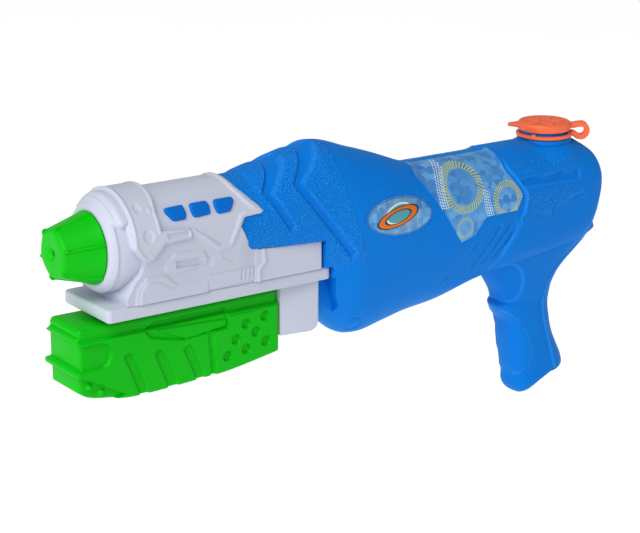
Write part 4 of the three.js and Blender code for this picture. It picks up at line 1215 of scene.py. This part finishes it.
    def build(self) -> None:
        """Builds and dresses the tank and its films."""
        shell = Mesher.piece("tank_shell", [self.body(), self.grip(), self.neck()])
        painted(shell, "grain", self.grain)
        # The painted highlight along raised edges, stored for the blue finish.
        painted(shell, "edge_highlight", self.edge_highlight)
        dress(shell, self.finishes.blue, "body", "blue_plastic", "tank")
        wrap, far = (self.wrap_film(margin) for margin in self.film_margins)
        oval = self.oval_film()
        films = {
            "wrap_label_left": (wrap, self.finishes.wrap),
            "wrap_label_right": (Mesher.mirrored(far), self.finishes.wrap),
            "oval_label_left": (oval, self.finishes.oval),
            "oval_label_right": (Mesher.mirrored(oval), self.finishes.oval),
        }
        far.free()
        for name, (bm, finish) in films.items():
            dress(Mesher.piece(name + "_film", [bm]), finish, "body", "foil_film", name)


@dataclass
class Housing:
    """The white two-part housing: barrel, collar, body, slide plate, pump box and guide."""

    finishes: Finishes
    radius: float = 30.9
    wall: float = 2.2
    seam_low: float = -7.0
    base: float = -31.3
    foot_half: float = 26.0
    foot_lean: float = 4.1
    rear_tuck: float = 2.9
    edge_depth: float = 0.9
    edge_reach: float = 1.2
    block_top: float = -10.8
    block_fall: float = 2.6
    block_front: float = 121.3
    block_rear: float = 171.2
    block_half: float = 27.2
    plate_front: float = 20.9
    plate_rear: float = 178.6
    plate_half: float = 26.3
    plate_corner: float = 3.0
    plate_under: float = -39.5
    plate_thick: float = 8.2
    box_front: float = 144.8
    box_half: float = 24.0
    box_taper: float = 0.17
    guide_front: float = 38.0
    guide_length: float = 107.4
    pad_rise: float = 1.9
    pad_depth: float = 4.0
    pad_turn: float = math.radians(38)
    well_reach: float = 33.0
    foot: Curve = Curve((
        (-31.3, 31.0), (-28.3, 32.9), (-24, 35.2), (-18.8, 37.5), (-13, 41.4), (-9.2, 42.9), (-7, 43.2),
    ))
    marks: tuple[Mark, ...] = (
        panel(2.8, (
            (36.4, 45), (59.5, 45), (57.5, 28), (54.6, 20.5), (54.7, 11.6), (74, 10), (75.2, 8),
            (74.7, 5.1), (56.5, 4.5), (48.4, -3.4), (42.4, -4.3), (35.8, 3.5), (36.4, 20),
        ), 1.8),
        groove(0.5, ((37.4, 45), (37.4, 20), (36.9, 4.4), (42.8, -2.8), (47.8, -2.2)), 1.8, 1.2),
        groove(0.5, ((58, 45), (56.2, 28), (53.4, 20.5), (53.4, 10.6)), 1.8, 1.2),
        panel(-1.0, ((58.2, 9), (72.7, 8.9), (72.8, 6.3), (58.8, 6.3)), 0.9),
        groove(0.9, (
            (110.6, 30.9), (112.2, 26), (117, 19.4), (121.6, 14.8), (124.4, 12.9), (114.6, 12.9),
            (111, 11.4), (105.8, 2.9), (101.8, -4.2), (94.6, -4.4), (85.5, 2.6), (78, 7.6),
        ), 2.6, 1.3),
        panel(0.9, (
            (56.8, -9.8), (63.2, -2.7), (82.7, -3.7), (86.6, -9.3), (84.8, -12.9), (76.5, -14.3),
            (66.1, -15.4), (58.6, -13),
        ), 1.1),
        panel(-1.3, ((64.8, -7.4), (80.1, -8.1), (84.7, -11.9), (82.3, -13.2), (65.3, -12.3))),
        panel(0.5, ((90.8, -9.1), (96.1, -8.5), (97.5, -11.7), (104.4, -15.4), (89.4, -15.7))),
        panel(0.8, (
            (39.4, -34), (39.8, -21.8), (45.5, -15.2), (57.8, -15.3), (66.1, -22.6), (88.3, -22.3),
            (88.3, -34),
        ), 1.2),
        panel(0.6, (
            (41.8, -34), (42.2, -22.4), (46.2, -17.6), (53.9, -19.2), (62.5, -24.6), (88.4, -24.7),
            (88.4, -34),
        )),
        panel(0.8, ((88.2, -21.3), (123.5, -21.3), (124, -29.7), (88.7, -30.1)), 0.9),
        disc(-0.5, (43.6, 23.1), 2.0),
        disc(0.4, (51, 21.6), 1.3, 0.9),
        disc(-0.7, (45.8, 9.6), 3.2, 1.2),
    ) + tuple(groove(-0.7, ((x, -22.5), (x, -27.5)), 1.4, 0.8) for x in (112.2, 115.3, 118.4, 121.5))
    block_marks: tuple[Mark, ...] = (
        groove(0.8, ((127.5, -10), (128.9, -19.8), (124.8, -23), (124.6, -32)), 2.4),
    )
    rear_edge: Points = (
        (-31.3, 124), (-9.9, 124), (-9.4, 118.9), (-1.2, 113.8), (5.8, 110.4), (10.2, 113.2), (11, 115),
        (11.4, 125.6), (12.4, 127.5), (12.9, 127.6), (16, 125.1), (19.6, 121.3), (23.2, 118.3),
        (26.3, 115.6), (29.3, 114.4), (30.9, 114.1),
    )
    front_edge: Points = ((-7.0, 43.2), (-4.2, 42.2), (3.6, 35.6), (8, 34.6))
    collar_profile: Points = (
        (25.6, 20.4), (24.6, 21.0), (24.1, 21.8), (24.0, 22.8), (24.1, 23.8), (24.5, 24.7), (25.2, 25.4),
        (26.2, 26.2), (27.2, 26.9), (27.9, 27.3), (28.6, 27.4), (29, 27.2), (29.3, 26.9), (30, 27.0),
        (31, 27.2), (32, 27.4), (33.4, 27.6), (35, 27.7), (37, 27.7), (48, 27.7), (48, 25), (30.3, 25),
        (30.3, 20.4), (25.6, 20.4),
    )
    hood: Points = ((26.6, 0), (28, 1.1), (29, 2.1), (30, 3.0), (31, 3.7), (32, 4.2), (48, 4.2))
    hood_edge: Points = ((26, 23), (27.6, 20.9), (29.4, 17.2), (32.6, 15.2), (34.4, 15.6), (48, 15.6))
    hood_radius: float = 28.0
    pads: tuple[Points, ...] = (
        ((61.5, 45.4), (74.4, 46.3), (74.7, 35.7), (73.6, 29.9), (64.9, 30), (61.4, 39.9)),
        ((78.9, 46), (90.3, 46.3), (91.4, 40.3), (90.7, 30.9), (79.4, 29.7), (78.1, 35.8)),
        ((95.5, 45.8), (108.3, 45.8), (108.9, 40.4), (104.5, 29.9), (95.4, 29.5), (94.4, 37.2)),
    )
    screws: Points = ((47, -24.6), (48, 21), (84, -24.6), (115, -25.2), (139, -25.2), (164, -25.2))

    def collar(self) -> bmesh.types.BMesh:
        """Makes the left half of the round ring behind the nozzle, with its hood."""
        profile = np.array(self.collar_profile)
        hood, hood_edge = np.array(self.hood).T, np.array(self.hood_edge).T

        def mapping(u: np.ndarray, v: np.ndarray) -> np.ndarray:
            x, r = pick(profile, u).T
            turn = math.pi * (0.5 - v)
            above = self.hood_radius * np.sin(turn) - np.interp(x, *hood_edge)
            r = r + ease(0.5 + above / 1.4) * (r > 25.1) * np.interp(x, *hood)
            return np.stack([x, -np.maximum(r * np.cos(turn), SEAM), r * np.sin(turn)], axis=1)

        return Mesher.sheet(len(profile) - 1, 120, mapping)

    def skin(self) -> bmesh.types.BMesh:
        """Makes the left half of the barrel and of the body under it as one closed wall.

        The grid runs back along the outside and forward along the inside, and from the crown to the base.
        """
        low = math.degrees(math.asin(self.seam_low / self.radius))
        spans = ((90, 24.68, 70), (24.68, 21.65, 6), (21.65, 20.86, 4), (20.86, 10.82, 16), (10.82, low, 30))
        turns = np.radians(np.concatenate([np.linspace(a, b, n)[:-1] for a, b, n in spans] + [[low]]))
        drops = np.linspace(self.seam_low, self.base, 48)
        level = np.concatenate([self.radius * np.sin(turns), drops])
        angle = np.concatenate([turns, np.full(len(drops), turns[-1])])
        below = np.arange(len(level)) >= len(turns)
        outer = np.concatenate([[33.8, 34.1, 34.6, 35.3], np.arange(36, 62, 0.6), np.arange(62, 128, 0.7)])
        inner = np.concatenate([np.linspace(127.4, 108, 10), np.linspace(104, 33.8, 12)])
        loop = np.concatenate([outer, inner, outer[:1]])
        outside = np.arange(len(loop)) % (len(loop) - 1) < len(outer)

        def mapping(u: np.ndarray, v: np.ndarray) -> np.ndarray:
            z, turn, under, out = pick(level, v), pick(angle, v), pick(below, v), pick(outside, u)
            rear = np.interp(z, *np.array(self.rear_edge).T)
            start = np.interp(z, *np.array(self.front_edge).T)
            x = np.clip(pick(loop, u), np.where(under, self.foot(z), start), rear)
            up = (z - self.base) / (self.seam_low - self.base)
            tuck = self.rear_tuck * np.where(under, up, ease((3 - z) / 10)) * ease((x - 108) / 16)
            rise = relief(self.marks, x, z)
            lead = (1 - ease((x - start) / 1.4)) * ~under
            trail = rounding(rear - x, self.edge_depth, self.edge_reach)
            outer_r = self.radius - lead - trail + rise
            inner_r = self.radius - self.wall - 1.4 * (1 - ease((x - 48) / 6))
            r = np.where(out, outer_r, inner_r)
            straight = np.where(out, self.foot_half + self.foot_lean * up + rise - tuck, SEAM)
            wide = np.where(under, straight, r * np.cos(turn) - tuck * out)
            return np.stack([x, -np.maximum(wide, SEAM), np.where(under, z, r * np.sin(turn))], axis=1)

        return Mesher.sheet(len(loop) - 1, len(level) - 1, mapping)

    def block(self) -> bmesh.types.BMesh:
        """Makes the left half of the block under the tank's nose."""

        def mapping(u: np.ndarray, v: np.ndarray) -> np.ndarray:
            x = self.block_front + (self.block_rear - self.block_front) * u
            high = self.block_top - self.block_fall * u
            z = self.base + (high - self.base) * v
            near = np.minimum.reduce([x - self.block_front, self.block_rear - x, high - z])
            edge = rounding(near, self.edge_depth, self.edge_reach)
            wide = self.block_half + relief(self.block_marks, x, z) - edge
            return np.stack([x, -wide, z], axis=1)

        return Mesher.block(110, 44, mapping)

    def plate(self) -> bmesh.types.BMesh:
        """Makes the left half of the slide plate."""
        front, rear, r = self.plate_front, self.plate_rear, self.plate_corner
        turns, side = np.linspace(0, math.pi / 2, 7), r - self.plate_half
        corners = [(front, -SEAM)]
        corners += [(front + r - r * math.cos(a), side - r * math.sin(a)) for a in turns]
        corners += [(rear - r + r * math.sin(a), side - r * math.cos(a)) for a in turns]
        corners += [(rear, -SEAM)]
        return Mesher.prism(flat(corners, 2, self.plate_under), (0, 0, self.plate_thick), 1.5, 4)

    def pump_box(self) -> bmesh.types.BMesh:
        """Makes the left half of the box at the rear of the slide plate, narrower towards its front."""
        front, rear = self.box_front, self.block_rear
        corners = (
            (front, -39), (rear, -39), (rear, -65.6), (rear - 0.6, -68.3), (rear - 2, -70.4),
            (rear - 4.1, -71.6), (rear - 6.6, -72), (front, -72),
        )
        bm = Mesher.prism(flat(corners, 1, -self.box_half), (0, self.box_half - SEAM, 0), 1.2)
        for vert in bm.verts:
            ahead = (spot(rear, 0, 0).x - vert.co.x) / ((rear - front) * MM)
            vert.co.y *= 1 - self.box_taper * ahead
        return bm

    def guide(self) -> bmesh.types.BMesh:
        """Makes the left half of the guide that carries the fore-grip."""
        corners = (
            (-SEAM, -39), (-6.6, -39), (-6.6, -45.3), (-14.7, -45.3), (-14.7, -74.7), (-SEAM, -74.7),
        )
        return Mesher.prism(flat(corners, 0, self.guide_front), (self.guide_length, 0, 0), 0.6, 2)

    def windows(self) -> list[bmesh.types.BMesh]:
        """Makes the three left window pads; each corner is a place along the barrel and an angle round it."""
        r, made = self.radius + self.pad_rise, []
        way = self.pad_depth * np.array((0, math.cos(self.pad_turn), -math.sin(self.pad_turn)))
        for outline in self.pads:
            x, turn = np.array(outline).T
            turn = np.radians(turn)
            corners = np.stack([x, -r * np.cos(turn), r * np.sin(turn)], axis=1)
            made.append(Mesher.prism(corners, way, 1.5, 4))
        return made

    def build(self) -> None:
        """Builds and dresses both halves and their windows."""
        left = [self.skin(), self.block(), self.collar(), self.plate(), self.pump_box(), self.guide()]
        right = [Mesher.mirrored(bm) for bm in left]
        wells = [screw_well(*at, self.well_reach) for at in self.screws]
        right[0] = Mesher.cut(right[0], *wells[:4])
        right[1] = Mesher.cut(right[1], *wells[4:])
        for side, shells in (("left", left), ("right", right)):
            shell = Mesher.piece(f"housing_shell_{side}", shells)
            dress(shell, self.finishes.white, "body", "white_plastic", f"housing_{side}")
        pads = self.windows()
        twins = [Mesher.mirrored(bm) for bm in pads]
        for side, shells in (("left", pads), ("right", twins)):
            strip = Mesher.piece(f"window_pads_{side}", shells)
            dress(strip, self.finishes.window, "body", "window_blue", f"window_insert_{side}")


@dataclass
class Nozzle:
    """The green nozzle: a soft hexagonal cone with a thin ridge on each edge."""

    finishes: Finishes
    length: float = 23.8
    tip: float = 14.9
    root: float = 22.0
    first_ridge: float = 17.0
    facet: float = 0.6
    ridge: float = 1.0
    ridge_half: float = 0.7
    nub: float = 0.7

    def build(self) -> None:
        """Builds and dresses the nozzle."""
        tip, root, length = self.tip, self.root, self.length
        hole = [(7, 0.0), (7, 1.6), (1.6, 1.6), (1.2, 1.8), (1.0, 2.2), (1.0, 3.0), (0.3, 3.5), (0.0, 3.9)]
        face = [(0.0, 8), (0.0, tip - 2.4), (0.15, tip - 1.2), (0.5, tip - 0.5), (1.0, tip - 0.05)]
        cone = [(x, tip + (root - tip) * x / length) for x in np.linspace(1.6, length - 0.4, 34)]
        stem = [(length, root - 0.3), (length, 19.4), (30, 19.4), (30, 0.0)]
        profile = np.array(hole + face + cone + stem)

        def mapping(u: np.ndarray, v: np.ndarray) -> np.ndarray:
            x, r = pick(profile, u).T
            turn = 2 * math.pi * v
            off = np.radians(np.abs(np.mod(360 * v - self.first_ridge + 30, 60) - 30))
            hexagon = math.cos(math.pi / 6) / np.cos(math.pi / 6 - off)
            share = self.facet * np.clip(1 - x / length, 0, 1) ** 0.6
            r = np.where((r > 10) & (x <= length), r * (1 - share * (1 - hexagon)), r)
            on_ridge = ease((self.ridge_half + 0.3 - off * r) / 0.5) * (r > tip * 0.9) * (x <= length)
            r = r + on_ridge * (self.ridge + self.nub * ease((3.4 - x) / 0.8))
            return np.stack([x, -r * np.cos(turn), r * np.sin(turn)], axis=1)

        bm = Mesher.sheet(len(profile) - 1, 360, mapping)
        dress(Mesher.piece("nozzle_cone", [bm]), self.finishes.green, "body", "green_plastic", "nozzle")


@dataclass
class ForeGrip:
    """The green pumping fore-grip, a split sleeve that hooks round the guide."""

    finishes: Finishes
    front: float = 6.2
    rear: float = 144.2
    top: float = -42.7
    ledge: float = -50.0
    band_half: float = 17.3
    panel_half: float = 20.0
    nose_round: float = 3.5
    edge_depth: float = 2.0
    edge_reach: float = 2.2
    well_reach: float = 22.0
    beads: Sequence[tuple[float, float, float]] = ((-49.8, 2.0, 1.9), (-69.3, 2.6, 3.2))
    belly: Curve = Curve((
        (6.2, -81.5), (12, -85), (20, -87), (44, -89.6), (99, -87.4), (144.2, -81),
    ))
    marks: tuple[Mark, ...] = (
        panel(-2.0, (
            (0, -52), (20.7, -52.3), (24.2, -54.4), (26, -58), (26, -61.5), (24.6, -65), (21.5, -67.3),
            (0, -67.8),
        ), 0.9),
        panel(-3.0, (
            (5.1, -72.5), (8.3, -72), (25.7, -81.1), (34.9, -86.8), (24.3, -90), (0, -90), (0, -79.7),
        )),
        disc(2.4, (12, -78), 1.6, 1.8),
        disc(2.4, (20, -82.5), 1.6, 1.8),
        panel(-1.8, (
            (34.9, -63.5), (36, -62), (38.5, -61.8), (40, -63.5), (42.8, -69.1), (52.5, -92), (46.3, -92),
        ), 0.9),
        panel(-1.8, (
            (55.7, -65.8), (57, -64), (59.5, -63.4), (60.8, -65), (63.1, -68.3), (73.2, -92), (65.9, -92),
        ), 0.9),
        panel(-1.8, (
            (75.5, -66.8), (76.8, -65), (79.3, -64.4), (81, -66.3), (83.1, -69.8), (92.2, -92), (86.4, -92),
        ), 0.9),
        panel(-1.6, (
            (49.2, -50.5), (56.7, -47), (106.8, -47), (107.1, -59.1), (93.6, -59.7), (76.2, -61),
            (53.1, -55.5),
        ), 0.9),
        panel(1.0, ((56.5, -51.2), (106.3, -53.6), (105.6, -57.9), (77.5, -60.6)), 0.8),
        panel(0.8, (
            (98.3, -92), (95.1, -59.7), (107.1, -58.9), (106.5, -51.9), (141.8, -50.9), (142.5, -92),
        ), 0.8),
        panel(-1.6, ((92.6, -60), (95.2, -92), (98.6, -92), (96.2, -60)), 0.8),
    ) + tuple(disc(-1.9, at, 3.0, 0.7) for at in (
        (119.3, -58.7), (133, -56.2), (126.4, -65.1), (112, -67.4), (133.7, -72.5), (119.4, -74.8),
        (105.8, -76.9),
    ))
    screws: Points = ((18, -79), (18, -51.5), (120, -80))

    def nose(self, z: np.ndarray) -> np.ndarray:
        """Gives the front line, with a bead above and below its recess."""
        line = self.front - 0.5 * ease((z + 48) / 2)
        line = line + rounding(self.top - z, self.nose_round, self.nose_round)
        for at, half, out in self.beads:
            line = line - out * np.sqrt(np.clip(1 - ((z - at) / half) ** 2, 0, 1))
        return line

    def side(self) -> bmesh.types.BMesh:
        """Makes the left half."""
        soft = np.array([0, 0.25, 0.6, 1.1, 1.7])
        span = self.rear - self.front
        tall = 44.0
        along = np.concatenate([soft, np.linspace(2.3, span - 2.3, 222), span - soft[::-1]]) / span
        up = np.concatenate([soft, np.linspace(2.3, tall - 2.3, 84), tall - soft[::-1]]) / tall

        def mapping(u: np.ndarray, v: np.ndarray) -> np.ndarray:
            a, b = pick(along, u), pick(up, v)
            x = self.front + span * a
            low = self.belly(x)
            z = low + (self.top - low) * b
            nose = self.nose(z)
            x = x + (nose - self.front) * (1 - a) ** 24
            step = (self.panel_half - self.band_half) * ease(0.5 + (self.ledge - z) / 1.2)
            near = np.minimum.reduce([x - nose, self.rear - x, z - low, self.top - z])
            edge = rounding(near, self.edge_depth, self.edge_reach)
            wide = self.band_half + step + relief(self.marks, x, z) - edge
            return np.stack([x, -wide, z], axis=1)

        return Mesher.block(len(along) - 1, len(up) - 1, mapping)

    def rooms(self, side: int) -> list[bmesh.types.BMesh]:
        """Makes the cutters for the room that the guide slides in.

        Args:
            side: -1 for the left half and 1 for the right.

        Returns:
            The cutters.
        """
        made = []
        for front, length, half, high, low in ((37.4, 140, 7.2, -40, -45.4), (17.7, 160, 15.2, -44.8, -75.2)):
            corners = [(side * y, z) for y, z in ((-1, high), (half, high), (half, low), (-1, low))]
            made.append(Mesher.prism(flat(corners, 0, front), (length, 0, 0)))
        return made

    def build(self) -> None:
        """Builds and dresses both halves."""
        left = self.side()
        right = Mesher.mirrored(left)
        wells = [screw_well(*at, self.well_reach) for at in self.screws]
        halves = {
            "left": Mesher.cut(left, *self.rooms(-1)),
            "right": Mesher.cut(right, *self.rooms(1), *wells),
        }
        for side, bm in halves.items():
            shell = Mesher.piece(f"fore_grip_shell_{side}", [bm])
            dress(shell, self.finishes.green, "pump", "green_plastic", f"fore_grip_{side}")


@dataclass
class FillerCap:
    """The orange filler cap with its ring and strap, turned about the neck."""

    finishes: Finishes
    turn: float = -35.0
    radius: float = 17.7
    rim: float = 25.2
    top: float = 31.2
    top_rings: int = 40
    tab_under: float = 27.0
    tab_thick: float = 2.2
    bend_start: tuple[float, float, float] = (24.0, 0, 21.6)
    bend_end: tuple[float, float, float] = (24.0, 0, 27.4)
    strap_line: Points = (
        (17.6, 22), (19.2, 22), (20.4, 21.4), (22.57, 19.9), (25.4, 19.6), (27.76, 20.94), (29.2, 24.4),
        (27.76, 27.86), (25.4, 29.1), (22.57, 28.9), (20, 28.4), (18.6, 28.2), (16.8, 28.2),
    )
    strap_section: Points = ((-1.25, -3.2), (2.1, -3.2), (2.1, 3.2), (-1.25, 3.2))

    def turned_about(self, points: np.ndarray) -> np.ndarray:
        """Turns points laid out with the strap along +X about the neck."""
        c, s = math.cos(math.radians(self.turn)), math.sin(math.radians(self.turn))
        x, y, z = np.asarray(points, float).T
        return np.stack([NECK_X + c * x - s * y, s * x + c * y, z], axis=1)

    def lid(self) -> bmesh.types.BMesh:
        """Makes the lid with its plug and moulded top."""
        r, t, rim, rings = self.radius, self.top, self.rim, self.top_rings
        face = [(q, t - 0.5) for q in np.linspace(0, r - 1.6, rings)]
        side = [
            (r - 1.0, t - 0.6), (r - 0.45, t - 0.95), (r - 0.1, t - 1.5), (r, t - 2.2), (r, rim + 0.6),
            (r - 0.3, rim + 0.1), (r - 0.7, rim), (16.3, rim),
        ]
        plug = [(16.3, 28.2), (12.4, 28.2), (12.4, 23.5), (12.0, 23), (10.2, 23), (10.2, 29.2), (0, 29.2)]
        profile = np.array(face + side + plug)
        on_face = np.arange(len(profile)) < rings

        def mapping(u: np.ndarray, v: np.ndarray) -> np.ndarray:
            q, z = pick(profile, u).T
            turn = 2 * math.pi * v
            star = ease((6.0 + 8.0 * np.cos(2.5 * turn) ** 2 - q) / 1.2)
            hub = ease((4.2 - q) / 1.0)
            lip = ease((q - (r - 2.8)) / 0.8)
            z = z + (star - 0.7 * hub + 0.5 * lip - 0.6) * pick(on_face, u)
            return self.turned_about(np.stack([q * np.cos(turn), q * np.sin(turn), z], axis=1))

        return Mesher.sheet(len(profile) - 1, 192, mapping, caps=False)

    def tab(self) -> bmesh.types.BMesh:
        """Makes the lifting tab."""
        corners = ((-14.5, 7.4), (-19, 4.8), (-24.6, 0.9), (-24.6, -0.9), (-19, -4.8), (-14.5, -7.4))
        outline = self.turned_about(flat(rounded(corners, 1.0, 3), 2, self.tab_under))
        return Mesher.prism(outline, (0, 0, self.tab_thick), 0.6, 3)

    def hoop(self) -> bmesh.types.BMesh:
        """Makes the ring round the neck."""
        profile = (
            (20.8, 16.0), (20.8, 18.3), (21.2, 18.75), (22.0, 18.85), (22.8, 18.75), (23.2, 18.3),
            (23.2, 16.0),
        )
        return Mesher.turned(profile, 96, (NECK_X, 0, 0), "Z")

    def nub(self) -> bmesh.types.BMesh:
        """Makes the small bump on the ring's front."""
        centre = self.turned_about(np.array([(-8.6, -15.2, 0)]))[0]
        profile = ((21.6, 0), (21.6, 1.7), (23.6, 1.6), (24.2, 1.2), (24.5, 0))
        return Mesher.turned(profile, 20, centre, "Z")

    def strap(self) -> bmesh.types.BMesh:
        """Makes the bent strap from the ring to the cap."""
        corners = np.array(self.strap_line)
        reach = np.concatenate([[0], np.cumsum(np.hypot(*np.diff(corners, axis=0).T))])
        out, up = (Curve(tuple(zip(reach, column))) for column in corners.T)
        outline = np.array(rounded(self.strap_section, 0.8, 4))
        cols = len(outline)

        def mapping(u: np.ndarray, v: np.ndarray) -> np.ndarray:
            at = u * reach[-1]
            dx, dz = out(at + 0.2) - out(at - 0.2), up(at + 0.2) - up(at - 0.2)
            size = np.maximum(np.hypot(dx, dz), 1e-9)
            a, b = outline[np.rint(v * cols).astype(int) % cols].T
            points = np.stack([out(at) - a * dz / size, b, up(at) + a * dx / size], axis=1)
            return self.turned_about(points)

        return Mesher.sheet(64, cols, mapping)

    def build(self) -> None:
        """Builds and dresses the cap, the ring and the strap."""
        orange, slot = self.finishes.orange, "orange_plastic"
        lid = Mesher.piece("filler_cap_lid", [self.lid(), self.tab()])
        dress(lid, orange, "cap", slot, "filler_cap")
        hoop = Mesher.piece("cap_ring_hoop", [self.hoop(), self.nub()])
        dress(hoop, orange, "strap_ring", slot, "cap_ring")
        band = Mesher.piece("cap_strap_band", [self.strap()])
        low, high = self.turned_about(np.array([self.bend_start, self.bend_end]))
        tuple(spot(*low))
        tuple(spot(*high))
        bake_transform(band)
        finished(band, orange, slot, "cap_strap")


@dataclass
class InnerWorks:
    """The pump, valves, hose and fasteners, carried over from the frame with their own finishes."""

    finishes: Finishes
    nodes: dict[str, bpy.types.Object] = field(default_factory=dict)

    def build(self) -> None:
        """Dresses the nodes that keep their shape."""
        looks = (
            (self.finishes.steel, {"screw", "ball", "spring", "pin"}),
            (self.finishes.rubber, {"seal", "grommet"}),
            (self.finishes.clear, {"hose", "cylinder"}),
            (self.finishes.grey, {"gland", "chest", "seat", "union", "rod", "piston"}),
        )
        for name, node in self.nodes.items():
            chosen = next((look for look, words in looks if words & set(name.split("_"))), None)
            if chosen is None:
                continue
            node.data.materials.clear()
            node.data.materials.append(chosen)
            LOG.info("%s keeps its shape", name)


@dataclass
class Studio:
    """The pale floor, the soft lights and the camera."""

    floor_drop: float = 0.11
    floor_half: float = 20.0
    glow: float = 0.8
    sky: float = 0.47
    gamma: float = 0.8
    lens: float = 112.5
    camera_at: tuple[float, float, float] = (-0.87691, -0.97657, 0.42881)
    camera_way: tuple[float, float, float] = (0.5609, 0.7759, -0.2889)
    camera_right: tuple[float, float, float] = (0.8113, -0.5846, 0.0050)
    aim: tuple[float, float, float] = (-0.1, 0.0, 0.08)

    def camera(self) -> None:
        """Sets the camera at the viewing angle."""
        data = bpy.data.cameras.new("camera")
        data.sensor_width = 36.0
        data.sensor_fit = "HORIZONTAL"
        data.lens = self.lens
        data.clip_end = 50.0
        made = bpy.data.objects.new("camera", data)
        right = Vector(self.camera_right).normalized()
        back = -Vector(self.camera_way).normalized()
        up = back.cross(right).normalized()
        right = up.cross(back)
        turn = Matrix((right, up, back)).transposed().to_4x4()
        made.matrix_world = Matrix.Translation(self.camera_at) @ turn
        bpy.context.scene.collection.objects.link(made)
        bpy.context.scene.camera = made

    def lamp(self, name: str, way: Sequence[float], size: float, power: float) -> None:
        """Adds one soft lamp that faces the object.

        Args:
            name: Its name.
            way: Its place from the point that it faces, in metres.
            size: Its width in metres.
            power: Its strength in watts.
        """
        data = bpy.data.lights.new(name, "AREA")
        data.shape = "DISK"
        data.size = size
        data.energy = power
        made = bpy.data.objects.new(name, data)
        made.location = Vector(self.aim) + Vector(way)
        made.rotation_euler = (-Vector(way)).to_track_quat("-Z", "Y").to_euler()
        bpy.context.scene.collection.objects.link(made)

    def build(self, low: Sequence[float]) -> None:
        """Builds the floor and the lights.

        Args:
            low: The lowest corner of the object.
        """
        bm = bmesh.new()
        bmesh.ops.create_grid(bm, x_segments=2, y_segments=2, size=self.floor_half)
        bmesh.ops.translate(bm, verts=bm.verts, vec=(0, 0, low[2] - self.floor_drop))
        floor = Mesher.piece("floor", [bm])
        g = Graph("floor_paint")
        color = g.mix(g.noise(3.0), linear("a0a1a3"), linear("a4a5a6"))
        g.join(color, g.shader.inputs["Base Color"])
        g.shader.inputs["Roughness"].default_value = 1.0
        g.shader.inputs["Specular IOR Level"].default_value = 0.0
        g.shader.inputs["Emission Color"].default_value = (1.0, 1.0, 1.0, 1.0)
        g.shader.inputs["Emission Strength"].default_value = self.glow
        floor.data.materials.append(g.material)
        floor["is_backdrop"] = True
        world = bpy.data.worlds.new("studio")
        world.use_nodes = True
        light = world.node_tree.nodes["Background"]
        light.inputs["Color"].default_value = (1.0, 1.0, 1.0, 1.0)
        light.inputs["Strength"].default_value = self.sky
        bpy.context.scene.world = world
        self.lamp("key", (-1.3, -0.8, 1.6), 1.5, 22.0)
        self.lamp("front", (-1.5, -0.35, 0.6), 1.1, 5.8)
        view = bpy.context.scene.view_settings
        view.view_transform = "Standard"
        view.gamma = self.gamma


def main() -> None:
    """Builds the squirter over its frame."""
    logging.basicConfig(level=logging.INFO)
    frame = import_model()
    studio = Studio()
    studio.camera()
    finishes = Finishes()
    WaterTank(finishes).build()
    Housing(finishes).build()
    Nozzle(finishes).build()
    ForeGrip(finishes).build()
    FillerCap(finishes).build()
    InnerWorks(finishes, frame["nodes"]).build()
    low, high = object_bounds()
    studio.build(low)


if __name__ == "__main__":
    main()
